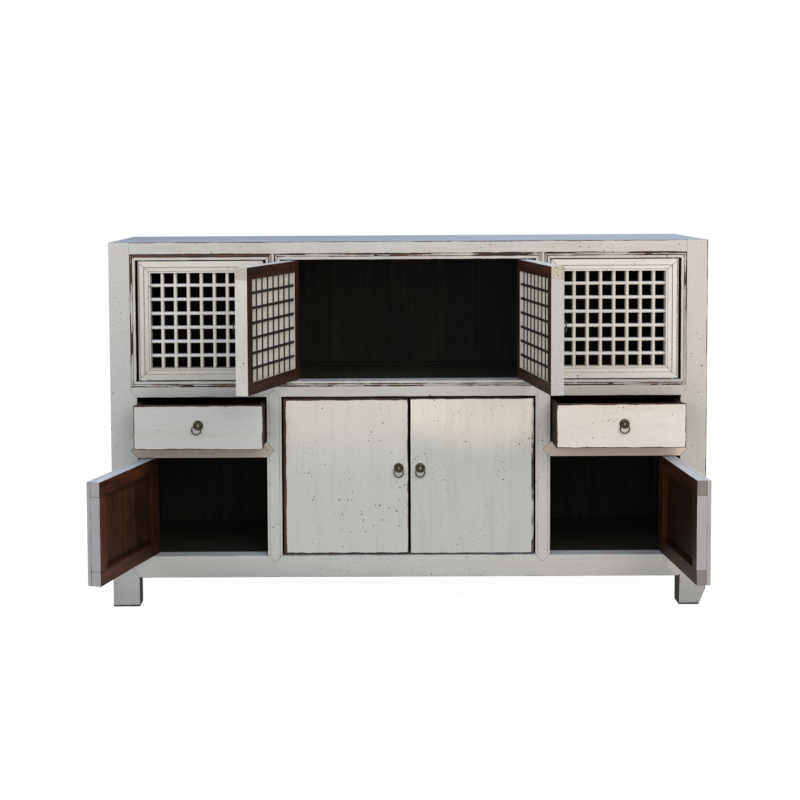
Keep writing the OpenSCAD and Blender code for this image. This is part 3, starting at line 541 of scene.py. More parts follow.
@dataclass(frozen=True)
class Bronze:
    """Cast bronze gone olive black with age: dull and a little mottled to the eye."""

    name: str = "aged_bronze"
    bright: str = "#5b5239"
    dull: str = "#26221a"

    def build(self) -> Material:
        """Makes the material.

        Returns:
            The material.
        """
        s = Shader(self.name)
        place = s.add(Kind.PLACE)
        skin = s.mottle(place, (11.0, 11.0, 11.0), 3.0, 0.5)
        grit = s.mottle(place, (1.1, 1.1, 1.1), 2.0)
        colour = s.add(Kind.MIX, s.add(Kind.RAMP, skin, 0.35, 0.75), self.dull, self.bright)
        rough = s.add(Kind.RAMP, skin, 0.35, 0.7, 0.5, 0.34)
        return s.finish({"Base Color": colour, "Roughness": rough, "Metallic": 0.4}, grit, 0.06)


def made(finish: Lacquer | Timber | Bronze) -> Material:
    """Has a finish's material made once the finishes are gathered."""
    return field(default_factory=finish.build)


@dataclass(frozen=True)
class Finishes:
    """Every finish, made once: the lacquers, which differ by board, the bare woods and the bronzes."""

    # The frame's and most boards' paint, even and quiet
    lacquer: Material = made(Lacquer("cream_lacquer_on_elm"))
    # Lighter on the thin bars, without pits
    bars: Material = made(Lacquer("cream_lacquer_on_bars", warm="#e0d6c8", cool="#d3cec4", pits=0.0))
    # Upward edges and sills: pale and bluish, painted sky light
    sky_lit: Material = made(Lacquer("pale_lacquer_on_upward_edges", warm="#d9dfeb", cool="#c6d0de",
                                   grime="#a2a9b6", edge_highlight="#f2f3fa", pits=0.4))
    # Round the lattices, lighter and warmer to the right, which is painted light
    frames: Material = made(Lacquer("cream_lacquer_on_lattice_frames", warm="#ebe4de", cool="#c3c1b8"))
    # Greyer towards the left centre door's foot
    plain: Material = made(Lacquer("grey_cream_lacquer_on_left_door", warm="#dad4cd", cool="#c1c2be",
                                   warm_from=0.36, warm_to=0.62))
    # Warm above and grey below half height on the right centre door: a painted sheen on its upper half
    painted_sheen: Material = made(Lacquer("warm_and_grey_lacquer_on_right_door", warm="#e9dfd3", cool="#bfc1bc",
                                     warm_from=0.44, warm_to=0.56))
    # Lighter paint on the right drawer, which is painted light
    bright: Material = made(Lacquer("bright_lacquer_on_right_drawer", warm="#e6ded5", cool="#dcd4cb"))
    # Yellowed by hands under the drawers, and much lighter to the right, painted light where the drawers'
    # shadow falls
    ochre: Material = made(Lacquer("ochre_lacquer_on_drawer_rails", warm="#fbe6d4", cool="#b0a496"))
    # Flat and grey on the right open lattice door's edge
    dull: Material = made(Lacquer("dull_lacquer_on_right_lattice_edge", warm="#c4c1be", cool="#b4b2b0"))
    # Greyer and darker on the doors' edges
    edge: Material = made(Lacquer("thin_lacquer_on_door_edges", warm="#b3aeac", cool="#9f9d9f",
                                  grime="#716a67", edge_highlight="#c9c6c6", pits=0.4))
    # End grain that has drunk the paint and looks brown
    ends: Material = made(Lacquer("stained_lacquer_on_end_grain", warm="#88807a", cool="#7e7673",
                                  grime="#4b4340", edge_highlight="#a09893", pits=0.4))
    # End grain whose paint has cracked into small plates
    crackled: Material = made(Lacquer("crackled_lacquer_on_end_grain", warm="#cfc3b2", cool="#c2b8aa",
                                      crackle=5.0))
    # The top: blue-grey, matt and dusty
    top: Material = made(Lacquer("blue_grey_lacquer_on_elm", warm="#b6c5d8", cool="#8f9fb1", grime="#82909f",
                                 edge_highlight="#b8c5d4", worn_mm=2.0, gloss=0.5, shine=0.06, pits=0.5))
    # Backs of the plain doors: red-brown, black at the hinge with painted shade
    bare: Material = made(Timber("bare_reddish_elm", "#643422", "#46261a", "#170e0a", hinge_shade=0.75))
    # The panel within them: browner, darker towards its edges, and with painted shade towards the hinge
    olive: Material = made(Timber("bare_brown_elm_panel", "#50301c", "#352016", "#140d09",
                                  edge_dark_mm=30.0, hinge_shade=0.3))
    # Inner edges of their frames: orange, painted light on the lit edges, and little darker at their own
    # edges
    amber: Material = made(Timber("bare_orange_elm_on_inner_edges", "#5f341b", "#452411", "#241209",
                                  edge_dark_mm=3.0))
    # The same on the right door, lighter and rustier, more painted light on an edge that lies in shade
    rust: Material = made(Timber("bare_rusty_elm_on_inner_edges", "#8f4a22", "#6c3516", "#2a140a",
                                 edge_dark_mm=2.0))
    # Backs of the lattice doors: deep brown; also the right plain door's frame, where it is painted shade
    shade: Material = made(Timber("bare_elm_of_lattice_backs", "#452a1c", "#2f1d16", "#140d0a", edge_dark_mm=9.0))
    # The right door's panel: nearly black, painted shade
    darkening: Material = made(Timber("sooty_elm_panel", "#2b1b13", "#1e140f", "#0f0a08", edge_dark_mm=30.0))
    # Sides of the drawers: dry and brown
    drawer: Material = made(Timber("brown_elm_of_drawers", "#37271b", "#241912", "#0f0b08", 0.7))
    # All of the inside: dull and almost black, the old wood darkened further with painted shade
    dark: Material = made(Timber("dark_inner_elm", "#282720", "#1e1e19", "#10110e", 0.8, 8.0, sheen=0.3))
    # The pulls: olive black, hardly shining
    bronze: Material = made(Bronze())
    # The eyes' fronts: light bronze, a painted highlight
    rubbed: Material = made(Bronze("rubbed_bronze", "#a59f8c", "#6f6a58"))


@dataclass(frozen=True)
class Stance:
    """How a piece stands as stored: turned about the upright axis, in degrees, anticlockwise from above."""

    turn: float = 0.0

    def axes(self) -> Axes:
        """Gives its own directions: across to the right, to the back, and up."""
        spin = Matrix.Rotation(math.radians(self.turn), 3, "Z")
        return spin @ Vector((1, 0, 0)), spin @ Vector((0, 1, 0)), Vector((0, 0, 1))


@dataclass
class Layers:
    """The layers of a mesh that the finishes read.

    They hold the board's own coordinates, the distances from a face's low and high sides, the place of its
    scratched line, and the distances from its mitred joints."""

    board: bmesh.types.BMLayerItem
    near: bmesh.types.BMLayerItem
    far: bmesh.types.BMLayerItem
    line: bmesh.types.BMLayerItem
    mitre: bmesh.types.BMLayerItem

    @classmethod
    def of(cls, mesh: bmesh.types.BMesh) -> Layers:
        """Adds them to a mesh.

        Args:
            mesh: The mesh.

        Returns:
            The new layers.
        """
        verts, loops = mesh.verts.layers, mesh.loops.layers
        return cls(
            board=verts.float_vector.new("board"),
            near=loops.float_vector.new("near"),
            far=loops.float_vector.new("far"),
            line=loops.float.new("line"),
            mitre=loops.float_vector.new("mitre"),
        )


@dataclass
class Joiner:
    """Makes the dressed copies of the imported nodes."""

    nodes: dict[str, bpy.types.Object]

    def merged(self, node: str) -> bmesh.types.BMesh:
        """Copies a node's triangles, merges them and melts the flat ones into whole faces.

        Args:
            node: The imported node.

        Returns:
            The copy.
        """
        mesh = bmesh.new()
        mesh.from_mesh(self.nodes[node].data)
        bmesh.ops.remove_doubles(mesh, verts=mesh.verts, dist=MERGE)
        bmesh.ops.dissolve_limit(mesh, angle_limit=FLAT_ANGLE, verts=mesh.verts, edges=mesh.edges)
        mesh.faces.layers.int.new(ROUNDED)
        return mesh

    @staticmethod
    def members(mesh: bmesh.types.BMesh) -> list[list[bmesh.types.BMFace]]:
        """Sorts the faces into the separate boards of the node.

        Args:
            mesh: The node's copy.

        Returns:
            Each board's faces.
        """
        seen: set[bmesh.types.BMFace] = set()
        boards = []
        for start in mesh.faces:
            if start in seen:
                continue
            seen.add(start)
            board, waiting = [], [start]
            while waiting:
                face = waiting.pop()
                board.append(face)
                fresh = {other for e in face.edges for other in e.link_faces} - seen
                seen |= fresh
                waiting.extend(sorted(fresh, key=lambda f: f.index))
            boards.append(board)
        return boards

    @staticmethod
    def divided(mesh: bmesh.types.BMesh, rounded: Faces, cuts: tuple[float, ...]) -> Faces:
        """Divides the faces at some heights.

        Args:
            mesh: The piece's mesh.
            rounded: The faces of eased edges.
            cuts: The heights.

        Returns:
            The rounded faces among the new ones.
        """
        mark = mesh.faces.layers.int[ROUNDED]
        for face in rounded:
            face[mark] = 1
        for height in cuts:
            whole = mesh.verts[:] + mesh.edges[:] + mesh.faces[:]
            plane = {"plane_co": (0.0, 0.0, height), "plane_no": (0.0, 0.0, 1.0)}
            bmesh.ops.bisect_plane(mesh, geom=whole, dist=MERGE, **plane)
        return {face for face in mesh.faces if face[mark]}

    @staticmethod
    def ease(mesh: bmesh.types.BMesh, ease_mm: float, corner_mm: float) -> Faces:
        """Rounds the outer edges.

        Args:
            mesh: The piece's mesh.
            ease_mm: How far every outer edge is rounded.
            corner_mm: How far the square ones are rounded first, or 0.

        Returns:
            The new faces.
        """
        rounded: Faces = set()
        for width, least in ((corner_mm, SQUARE_ANGLE), (ease_mm, SHARP_ANGLE)):
            sharp = [e for e in mesh.edges if e.is_manifold and e.is_convex and e.calc_face_angle() > least]
            if width and sharp:
                bevelled = bmesh.ops.bevel(
                    mesh, geom=sharp, offset=width * MM, segments=2 if width < 2 else 3, profile=0.5,
                    affect="EDGES", clamp_overlap=True, loop_slide=True, material=-1,
                )
                rounded |= set(bevelled["faces"])
        return {face for face in rounded if face.is_valid}

    def dress(
        self, node: str, body: str, slot: Slot, finishes: list[Material], coat: Coat | None = None,
        stance: Stance = Stance(), grain: Grain = Grain.LONGEST, ease_mm: float = 0.7, corner_mm: float = 0.0,
        smooth: bool = False, cuts: tuple[float, ...] = (),
    ) -> bpy.types.Object:
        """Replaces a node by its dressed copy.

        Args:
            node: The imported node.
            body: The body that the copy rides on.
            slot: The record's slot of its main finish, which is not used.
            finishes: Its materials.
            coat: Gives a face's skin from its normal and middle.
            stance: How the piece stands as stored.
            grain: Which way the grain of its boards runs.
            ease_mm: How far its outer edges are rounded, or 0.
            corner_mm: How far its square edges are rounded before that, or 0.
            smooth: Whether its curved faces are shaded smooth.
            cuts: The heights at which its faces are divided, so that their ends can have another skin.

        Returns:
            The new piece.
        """
        mesh = self.merged(node)
        rounded = self.ease(mesh, ease_mm, corner_mm)
        if cuts:
            rounded = self.divided(mesh, rounded, cuts)
        mesh.faces.index_update()
        mesh.normal_update()
        layers = Layers.of(mesh)
        for number, board in enumerate(self.members(mesh)):
            dice = random.Random(f"{node} {number}")
            self.measure(board, rounded, layers, stance.axes(), grain, dice, coat)
        if smooth:
            for face in mesh.faces:
                face.smooth = True
            for edge in mesh.edges:
                edge.smooth = edge.calc_face_angle(0.0) < SHARP_ANGLE
        data = bpy.data.meshes.new(f"{node}_dressed")
        mesh.to_mesh(data)
        mesh.free()
        piece = bpy.data.objects.new(f"{node}_dressed", data)
        bpy.context.scene.collection.objects.link(piece)
        for finish in finishes:
            data.materials.append(finish)
        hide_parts(node)
        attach(piece, body)
        LOG.info("%s: %d faces on %s", piece.name, len(data.polygons), body)
        return piece

    @staticmethod
    def slants(face: bmesh.types.BMFace, flat: list[Vector]) -> list[tuple[Vector, Vector]]:
        """Finds the slanting sides of a face, where it is mitred.

        Args:
            face: The face.
            flat: The two directions that lie in it.

        Returns:
            A point on each slanting side and the direction square to it, the longest side first.
        """
        found = []
        for edge in sorted(face.edges, key=lambda e: -e.calc_length()):
            way = (edge.verts[1].co - edge.verts[0].co).normalized()
            if min(abs(way @ a) for a in flat) > SLANTING and edge.calc_length() > 10 * MM:
                found.append((edge.verts[0].co.copy(), way.cross(face.normal)))
        return found

    @staticmethod
    def measure(
        board: list[bmesh.types.BMFace], rounded: Faces, layers: Layers, axes: Axes, grain: Grain,
        dice: random.Random, coat: Coat | None,
    ) -> None:
        """Writes the board's own coordinates, and each face's distances from its edges and its skin.

        The ends of a slender board lie against other boards, so they count as far away.

        Args:
            board: The board's faces.
            rounded: The faces of eased edges.
            layers: The layers that get the numbers.
            axes: The directions of the piece.
            grain: Which way the grain runs.
            dice: Draws where in the tree the board was cut.
            coat: Gives a face's skin.
        """
        corners = {v for f in board for v in f.verts}
        spans = [span(corners, a) for a in axes]
        along = spans.index(max(spans)) if grain is Grain.LONGEST else grain.value
        slender = spans[along] > SLENDER * sorted(spans)[1]
        order = [axes[along]] + [a for i, a in enumerate(axes) if i != along]
        shift = Vector([dice.uniform(-TREE, TREE) for _ in range(3)])
        for v in corners:
            v[layers.board] = Vector([v.co @ a for a in order]) + shift
        for face in board:
            skin = Skin()
            if coat:
                skin = coat(Vector([face.normal @ a for a in axes]), face.calc_center_median())
            face.material_index = skin.finish
            flat = sorted(axes, key=lambda a: abs(face.normal @ a))[:2]
            ends = [(min(v.co @ a for v in face.verts), max(v.co @ a for v in face.verts)) for a in flat]
            on_edge = face in rounded
            across = max(span(face.verts, a) for i, a in enumerate(axes) if i != along)
            lengthwise = span(face.verts, axes[along]) > 1.5 * across
            at_joint = on_edge and slender and not lengthwise
            slants = Joiner.slants(face, flat)[:2] if skin.mitred else []
            for loop in face.loops:
                loop[layers.line] = JOINT_LINE_MM if at_joint else skin.line_mm
                gaps = [abs((loop.vert.co - start) @ square) / MM for start, square in slants]
                gaps += [FAR_MM] * (2 - len(gaps))
                loop[layers.mitre] = (*gaps, 1.0 if slants else 0.0)
                low, high = [], []
                for a, (least, most) in zip(flat, ends):
                    here = loop.vert.co @ a
                    if at_joint:
                        pair = (FAR_MM, JOINT_LINE_MM)
                    elif slender and a is axes[along] and not skin.bounded:
                        pair = (FAR_MM, FAR_MM)
                    elif on_edge:
                        pair = (0.0, 0.0)
                    else:
                        pair = ((here - least) / MM, (most - here) / MM)
                    low.append(pair[0])
                    high.append(pair[1])
                loop[layers.near] = (*low, skin.rub)
                loop[layers.far] = (*high, 0.0 if at_joint else skin.wear)


@dataclass
class Carcass:
    """The frame, the top, the boards and what carries them, in metres."""

    FACE, DARK, TOP, SILL = range(4)

    front: float = -0.230
    outside: float = 0.894
    opening_edge: float = 0.820
    top: float = 1.110
    lower_low: float = 0.160
    upper_low: float = 0.690
    upper_high: float = 1.056
    margin: float = 0.020
    step_mm: tuple[float, float] = (9.0, 18.0)
    painted: tuple[str, ...] = (
        "front_posts", "top_front_rail", "middle_front_rail", "bottom_front_rail", "upper_dividers",
        "lower_dividers",
    )
    outer: tuple[str, ...] = ("back_posts", "side_rails", "side_panels")
    dark: tuple[str, ...] = (
        "back_rails", "back_boards", "shelf_boards", "floor_boards", "bearers", "partitions",
        "drawer_runners", "drawer_guides",
    )

    def outward(self, normal: Vector, middle: Vector) -> bool:
        """Says whether a face looks out of one of the cupboard's sides."""
        return abs(middle.x) > self.outside - self.margin and normal.x * middle.x > 0

    def front_coat(self, normal: Vector, middle: Vector) -> Skin:
        """Coats the front frame.

        It is cream in front and outside, blue-grey on top, pale with painted sky light on the sills, and dark
        where it faces inside, below or into an opening; the dark below and on the sides of the openings is
        painted shade.
        The step of the moulding is rubbed along its whole length.

        Args:
            normal: The face's normal.
            middle: Its middle.

        Returns:
            Its skin.
        """
        # Upward faces: blue-grey on top, and pale with painted sky light on the sills
        if normal.z > FACING:
            return Skin(self.TOP if middle.z > self.top - 2 * MM else self.SILL, wear=0.2)
        # Painted shade: the undersides and the sides of the openings are dark, so that the gaps read black
        aside = abs(normal.x) > FACING and not self.outward(normal, middle)
        if normal.y > FACING or normal.z < -FACING or aside:
            return Skin(self.DARK)
        rub = self.rubbing(middle)
        behind_front = self.front + 0.3 * MM < middle.y < self.front + 3 * MM
        if behind_front and middle.z > self.upper_low - 0.03:
            return Skin(self.FACE, max(0.62, rub))
        above = middle.z > self.upper_high + self.margin
        wide = above or abs(middle.x) > self.opening_edge + self.margin
        plain = not wide and self.lower_low < middle.z < self.upper_low - 0.05
        return Skin(self.FACE, rub, 1.15 if wide else 0.2 if plain else 0.6)

    def rubbing(self, middle: Vector) -> float:
        """Says how far the strip of moulding under a point of the front is rubbed.

        Args:
            middle: The point.

        Returns:
            The rubbing, from 0 to 1.
        """
        least, most = self.step_mm
        over = (middle.z - self.upper_high) / MM
        beside = (abs(middle.x) - self.opening_edge) / MM
        under = (self.upper_low - middle.z) / MM
        if least < over < most:
            return 1.0 if middle.x < -0.42 else 0.3
        if least < beside < most and self.upper_low < middle.z < self.upper_high:
            return 0.5 if middle.x < 0 else 0.35
        if least < under < most:
            return 0.25
        return 0.0

    def outer_coat(self, normal: Vector, middle: Vector) -> Skin:
        """Coats the sides and back posts: cream outside, blue-grey on top, dark inside.

        Args:
            normal: The face's normal.
            middle: Its middle.

        Returns:
            Its skin.
        """
        if normal.z > FACING and middle.z > self.top - 2 * MM:
            return Skin(self.TOP, wear=0.2)
        behind = normal.y > FACING and middle.y > 0.2
        shown = self.outward(normal, middle) or behind or normal.z < -FACING
        return Skin(self.FACE if shown else self.DARK, wear=0.6)

    def top_coat(self, normal: Vector, middle: Vector) -> Skin:
        """Coats the top: blue-grey above and at the edges, dark below."""
        return Skin(self.DARK if normal.z < -0.5 else self.FACE)

    def build(self, joiner: Joiner, finishes: Finishes) -> None:
        """Dresses every node of the carcass.

        Args:
            joiner: Makes the dressed copies.
            finishes: Every finish.
        """
        f = finishes
        dress = partial(joiner.dress, body="carcass")
        front = [f.lacquer, f.dark, f.top, f.sky_lit]
        for node in self.painted:
            dress(node, slot=Slot.PAINT, finishes=front, coat=self.front_coat, ease_mm=0.6)
        ochre = [f.ochre, *front[1:]]
        dress("drawer_rails", slot=Slot.PAINT, finishes=ochre, coat=self.front_coat, ease_mm=0.6)
        for node in self.outer:
            dress(node, slot=Slot.PAINT, finishes=front[:3], coat=self.outer_coat, ease_mm=1.0)
        for node in ("top_frame_rails", "top_panel"):
            dress(node, slot=Slot.TOP, finishes=[f.top, f.dark], coat=self.top_coat, ease_mm=0.8)
        for node in self.dark:
            dress(node, slot=Slot.DARK, finishes=[f.dark])


@dataclass
class RingPull:
    """A ridged round plate, the cotter through it, and the ring that hangs in the cotter's eye."""

    PLAIN, RUBBED = range(2)

    name: str
    body: str
    ring_body: str
    turned: bool = False
    eye_mm: float = 4.5

    def build(self, joiner: Joiner, finishes: Finishes) -> None:
        """Dresses the plate, the cotter and the ring.

        Args:
            joiner: Makes the dressed copies.
            finishes: Every finish.
        """
        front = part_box(f"{self.name}_pull")[0][1]

        def coat(normal: Vector, place: Vector) -> Skin:
            """Gives the front of the eye, which stands before the plate, a painted highlight."""
            at_eye = normal.y < -0.3 and place.y < front + self.eye_mm * MM
            return Skin(self.RUBBED if at_eye else self.PLAIN)

        dress = partial(joiner.dress, slot=Slot.BRONZE, ease_mm=0.0, smooth=True)
        metals = [finishes.bronze, finishes.rubbed]
        dress(f"{self.name}_pull", self.body, finishes=metals, coat=None if self.turned else coat)
        dress(f"{self.name}_ring", self.ring_body, finishes=metals[:1])


@dataclass
class LatticeDoor:
    """A lattice door of the upper part: painted, with a bare back and a bead round the lattice, in metres."""

    FACE, BACK, LEDGE, END, EDGE = range(5)

    name: str
    turn: float = 0.0
    high: float = 1.053
    member: float = 0.035
    step_back: float = 0.021
    outer_from: float = 0.17
    bead_line_mm: float = 5.0
    step_line_mm: float = 1.0
    centre: Vector = field(init=False)

    def __post_init__(self) -> None:
        """Finds the middle of the lattice."""
        low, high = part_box(f"{self.name}_door_lattice")
        self.centre = (Vector(low) + Vector(high)) / 2

    def frame_coat(self, normal: Vector, middle: Vector) -> Skin:
        """Coats the frame.

        It is cream, with a bare back and crackled ends where the rails come through the stiles. Where the
        door stands open its upper edge is pale with painted sky light; where it is shut, its upper edge is
        bare and its side edges are worn far in, painted shade that keeps the gaps dark. Scratched lines
        follow the bead and the step beside it.

        Args:
            normal: The face's normal in the door's own directions.
            middle: Its middle.

        Returns:
            Its skin.
        """
        if normal.y > FACING:
            return Skin(self.BACK)
        # The upper edge: pale with painted sky light when open, and bare and dark when shut, painted shade in
        # the gap
        if normal.z > FACING and middle.z > self.high - 3 * MM:
            return Skin(self.LEDGE if self.turn else self.BACK, wear=0.1)
        right, back, _ = Stance(self.turn).axes()
        off = middle - self.centre
        across = off @ right
        if abs(normal.x) > FACING and abs(across) > self.outer_from:
            if self.turn and middle.z > self.high - self.member:
                return Skin(self.END, wear=0.3, bounded=True)
            # On a shut door the wide wear is painted shade that keeps the gap dark
            return Skin(self.EDGE, wear=0.3 if self.turn else 2.2)
        if normal.y > -FACING:
            return Skin(self.FACE, wear=0.12)
        line = self.bead_line_mm if off @ back > -self.step_back else self.step_line_mm
        inner_high = off.z < 0 if abs(off.z) > abs(across) else across < 0
        return Skin(self.FACE, wear=0.12, line_mm=line if inner_high else -line, mitred=True)

    def bar_coat(self, normal: Vector, middle: Vector) -> Skin:
        """Coats the bars cream, pale with painted sky light where they face up, with an almost black back.

        Args:
            normal: The face's normal in the door's own directions.
            middle: Its middle.

        Returns:
            Its skin.
        """
        if normal.y > 0.15:
            return Skin(self.BACK)
        return Skin(self.LEDGE if normal.z > 0.3 else self.FACE)

    def build(self, joiner: Joiner, finishes: Finishes) -> None:
        """Dresses the frame, the lattice and the pull.

        Args:
            joiner: Makes the dressed copies.
            finishes: Every finish.
        """
        f, body = finishes, f"{self.name}_door"
        dress = partial(joiner.dress, body=body, slot=Slot.PAINT, stance=Stance(self.turn))
        edge = f.dull if self.turn > 0 else f.frames
        coats = [f.frames, f.shade, f.sky_lit, f.crackled, edge]
        cuts = (self.high - self.member - HAIR,)
        dress(f"{body}_frame", finishes=coats, coat=self.frame_coat, ease_mm=0.9, cuts=cuts)
        bars = [f.bars, f.dark, f.sky_lit]
        dress(f"{body}_lattice", finishes=bars, coat=self.bar_coat, ease_mm=0.8, corner_mm=2.2, smooth=True)
        RingPull(body, body, f"{self.name}_ring", self.turn != 0).build(joiner, finishes)


@dataclass
class PanelDoor:
    """A plain door of the lower part: a painted face board on a bare frame, in metres."""

    FACE, BACK, LEDGE, EDGE, END, INNER = range(6)

    name: str
    turn: float = 0.0
    low: float = 0.159
    high: float = 0.4545
    half_in: float = 0.0235
    pivot: Vector = field(default_factory=Vector)
    width: float = 0.3835
    rail: float = 0.042
    near: float = 1.5 * MM
    wear: float = 1.4
    shaded_back: bool = False

    def outline(self, middle: Vector) -> bool:
        """Says whether a point lies on the door's outline.

        Args:
            middle: The point.

        Returns:
            Whether it does.
        """
        across = Stance(self.turn).axes()[0]
        side = 1 if self.pivot.x < 0 else -1
        reach = side * ((middle - self.pivot) @ across) + self.half_in
        gaps = (reach, reach - self.width, middle.z - self.low, middle.z - self.high)
        return min(abs(gap) for gap in gaps) < self.near

    def board_coat(self, normal: Vector, middle: Vector) -> Skin:
        """Coats the face board cream on the front and thinly round it, and leaves its back bare.

        Where the door stands open its top is pale with painted sky light; on a shut door the edges are worn
        far in, painted shade that keeps the gaps dark.

        Args:
            normal: The face's normal in the door's own directions.
            middle: Its middle.

        Returns:
            Its skin.
        """
        if normal.y < -0.3:
            return Skin(self.FACE, wear=self.wear)
        if normal.z > FACING and self.turn:
            return Skin(self.LEDGE, wear=0.3)
        if normal.y > 0.5:
            return Skin(self.BACK)
        # On a shut door the wide wear is painted shade that keeps the gap dark
        return Skin(self.EDGE, wear=0.4 if self.turn else 2.6)

    def frame_coat(self, normal: Vector, middle: Vector) -> Skin:
        """Coats the frame thinly round the outline and leaves it bare elsewhere.

        The ends of the rails, which come through the stiles, are stained. Its top is pale with painted sky
        light, and the inner sides of the frame are orange with painted light.

        Args:
            normal: The face's normal in the door's own directions.
            middle: Its middle.

        Returns:
            Its skin.
        """
        outline = self.outline(middle)
        sideways = abs(normal.x) > FACING
        if abs(normal.y) > 0.5 or not outline:
            return Skin(self.INNER if sideways and not outline else self.BACK)
        if normal.z > FACING:
            return Skin(self.LEDGE, wear=0.3)
        at_end = not self.low + self.rail < middle.z < self.high - self.rail
        if at_end and sideways:
            return Skin(self.END if self.turn > 0 else self.EDGE, wear=0.5, bounded=True)
        return Skin(self.EDGE, wear=0.3)

    def build(self, joiner: Joiner, finishes: Finishes) -> None:
        """Dresses the face board, the frame and the pull.

        Args:
            joiner: Makes the dressed copies.
            finishes: Every finish.
        """
        f, body = finishes, f"{self.name}_door"
        dress = partial(joiner.dress, body=body, stance=Stance(self.turn))
        face = {"lower_centre_left": f.plain, "lower_centre_right": f.painted_sheen}.get(self.name, f.lacquer)
        # The right door's back is darker with painted shade, and the inner edges of its frame lighter with
        # painted light
        inner = f.rust if self.shaded_back else f.amber
        coats = [face, f.shade if self.shaded_back else f.bare, f.sky_lit, f.edge, f.ends, inner]
        cuts = (self.low + self.rail + HAIR, self.high - self.rail - HAIR)
        dress(f"{body}_frame", slot=Slot.BARE, finishes=coats, coat=self.frame_coat, cuts=cuts)
        coats[self.BACK] = f.darkening if self.shaded_back else f.olive
        dress = partial(dress, finishes=coats, coat=self.board_coat)
        dress(f"{body}_panel", slot=Slot.PAINT, grain=Grain.UP, ease_mm=1.0)
        RingPull(body, body, f"{self.name}_ring", self.turn != 0).build(joiner, finishes)


@dataclass
class Drawer:
    """A drawer: a painted front on a dark box."""

    FACE, BACK = range(2)

    name: str

    def coat(self, normal: Vector, middle: Vector) -> Skin:
        """Coats the face cream and leaves the rest bare."""
        return Skin(self.FACE, wear=1.3) if normal.y < -0.5 else Skin(self.BACK)

    def build(self, joiner: Joiner, finishes: Finishes) -> None:
        """Dresses the front, the box and the pull.

        Args:
            joiner: Makes the dressed copies.
            finishes: Every finish.
        """
        dress = partial(joiner.dress, body=self.name)
        face = finishes.bright if self.name == "right_drawer" else finishes.lacquer
        coats = [face, finishes.bare]
        dress(f"{self.name}_front", slot=Slot.PAINT, finishes=coats, coat=self.coat, ease_mm=1.2)
        dress(f"{self.name}_box", slot=Slot.DARK, finishes=[finishes.drawer])
        RingPull(self.name, self.name, f"{self.name}_ring").build(joiner, finishes)


@dataclass(frozen=True)
class Lamp:
    """A soft square lamp: its place and side in metres, its power in watts, and its tint."""

    name: str
    place: Triple
    side: float
    power: float
    tint: str

    def hang(self, aim: Vector) -> None:
        """Hangs it, turned to a point.

        Args:
            aim: The point.
        """
        light = bpy.data.lights.new(self.name, "AREA")
        light.size = self.side
        light.energy = self.power
        light.color = linear(self.tint)[:3]
        lamp = bpy.data.objects.new(self.name, light)
        lamp.location = self.place
        lamp.rotation_euler = (aim - Vector(self.place)).to_track_quat("-Z", "Y").to_euler()
        bpy.context.scene.collection.objects.link(lamp)


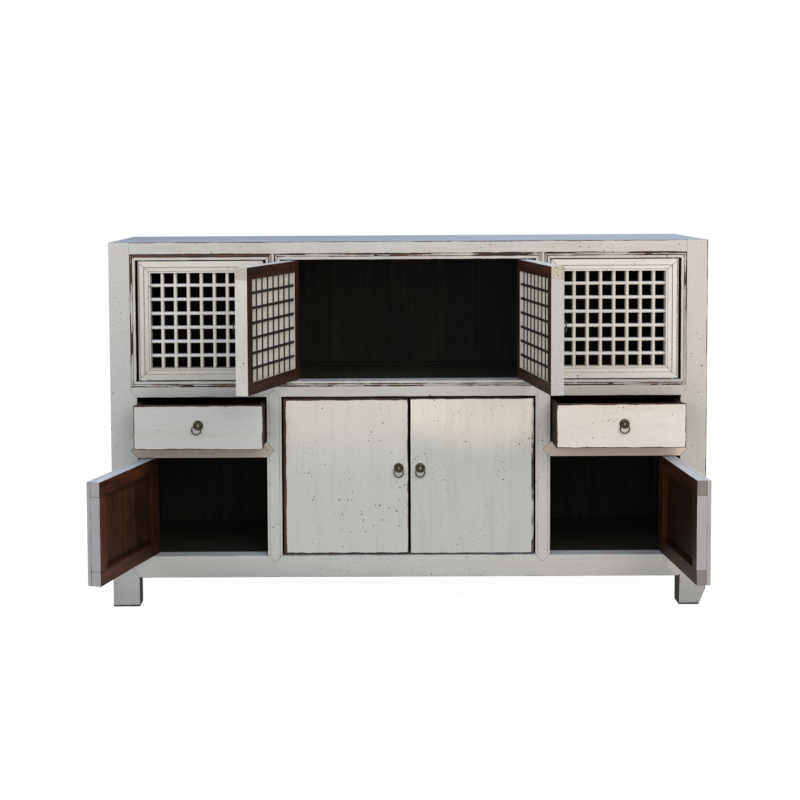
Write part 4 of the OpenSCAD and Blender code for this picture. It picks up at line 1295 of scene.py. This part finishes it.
@dataclass
class Studio:
    """The camera where the photograph was taken, plain soft light, and a pale floor."""

    place: Vector = field(default_factory=lambda: Vector((-0.1210, -4.4177, 1.2916)))
    yaw: float = -0.0045
    pitch: float = 0.0580
    roll: float = -0.0056
    focal_px: float = 1397.1
    frame_px: float = 800.0
    centre_px: tuple[float, float] = (361.3, 261.9)
    sensor_mm: float = 36.0
    middle: Vector = field(default_factory=lambda: Vector((0.0, 0.0, 0.55)))
    around: float = 0.50
    glow: float = 1.1
    glow_share: float = 0.88
    lamps: tuple[Lamp, ...] = (
        Lamp("key", (2.2, -4.5, 3.9), 4.5, 162.0, "#fff9f2"),
        Lamp("fill", (-3.4, -3.8, 2.4), 3.0, 56.0, "#f2f6ff"),
    )

    def camera(self) -> None:
        """Sets the camera by its place, its three angles, its focal length and its shift."""
        lens = bpy.data.cameras.new("camera")
        lens.sensor_width = self.sensor_mm
        lens.lens = self.focal_px * self.sensor_mm / self.frame_px
        lens.shift_x = (self.frame_px / 2 - self.centre_px[0]) / self.frame_px
        lens.shift_y = (self.centre_px[1] - self.frame_px / 2) / self.frame_px
        level = math.cos(self.pitch)
        ahead = Vector((math.sin(self.yaw) * level, math.cos(self.yaw) * level, -math.sin(self.pitch)))
        right = Vector((math.cos(self.yaw), -math.sin(self.yaw), 0.0))
        up = right.cross(ahead)
        cos, sin = math.cos(self.roll), math.sin(self.roll)
        axes = (cos * right + sin * up, cos * up - sin * right, -ahead)
        camera = bpy.data.objects.new("camera", lens)
        camera.matrix_world = Matrix.Translation(self.place) @ Matrix(axes).transposed().to_4x4()
        bpy.context.scene.collection.objects.link(camera)
        bpy.context.scene.camera = camera

    def world(self) -> None:
        """Lights all round with plain grey, and shows white to the camera, in gloss and through glass."""
        world = bpy.data.worlds.new("studio")
        bpy.context.scene.world = world
        world.use_nodes = True
        world.node_tree.nodes.clear()
        add = partial(add_node, world.node_tree)
        rays = add(Kind.RAYS).outputs
        direct = add(Kind.MOST, rays["Is Camera Ray"], rays["Is Glossy Ray"]).outputs[0]
        seen = add(Kind.MOST, direct, rays["Is Transmission Ray"]).outputs[0]
        soft = add(Kind.SKY, "#eef2f8", self.around).outputs[0]
        white = add(Kind.SKY, "#ffffff", 1.0).outputs[0]
        add(Kind.WORLD, add(Kind.BLEND, seen, soft, white).outputs[0])

    def floor(self) -> None:
        """Lays a pale floor that keeps a light shadow and otherwise shows as white."""
        mesh = bmesh.new()
        bmesh.ops.create_grid(mesh, x_segments=2, y_segments=2, size=30.0)
        data = bpy.data.meshes.new("floor")
        mesh.to_mesh(data)
        mesh.free()
        floor = bpy.data.objects.new("floor", data)
        bpy.context.scene.collection.objects.link(floor)
        s = Shader("pale_floor")
        rays = add_node(s.tree, Kind.RAYS).outputs
        glow = s.add(Kind.GLOW, "#ffffff", self.glow)
        matt = s.add(Kind.MATT, "#f4f4f3")
        seen = s.add(Kind.MOST, rays["Is Camera Ray"], rays["Is Glossy Ray"])
        share = s.add(Kind.TIMES, seen, self.glow_share)
        add_node(s.tree, Kind.MATERIAL, s.add(Kind.BLEND, share, matt, glow))
        data.materials.append(s.material)

    def build(self) -> None:
        """Sets up everything round the cupboard."""
        self.camera()
        self.world()
        self.floor()
        for lamp in self.lamps:
            lamp.hang(self.middle)
        bpy.context.scene.view_settings.view_transform = "Standard"


def main() -> None:
    """Builds the classes in order."""
    logging.basicConfig(level=logging.INFO, format="%(name)s: %(message)s")
    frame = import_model()
    finishes = Finishes()
    joiner = Joiner(frame["nodes"])
    Carcass().build(joiner, finishes)
    for name, turn in LATTICE_TURNS.items():
        LatticeDoor(name, turn).build(joiner, finishes)
    pivots = {j["child"]: Vector(j["pos_m"]) for j in frame["joints"] if j["type"] == "hinge"}
    centre = partial(PanelDoor, low=0.161, high=0.633)
    doors = (
        PanelDoor("lower_left", -107.0),
        centre("lower_centre_left", width=0.379),
        centre("lower_centre_right", width=0.374, wear=0.45),
        PanelDoor("lower_right", 94.0, shaded_back=True),
    )
    for door in doors:
        door.pivot = pivots[f"{door.name}_door"]
        door.build(joiner, finishes)
    for name in ("left_drawer", "right_drawer"):
        Drawer(name).build(joiner, finishes)
    Studio().build()


if __name__ == "__main__":
    main()
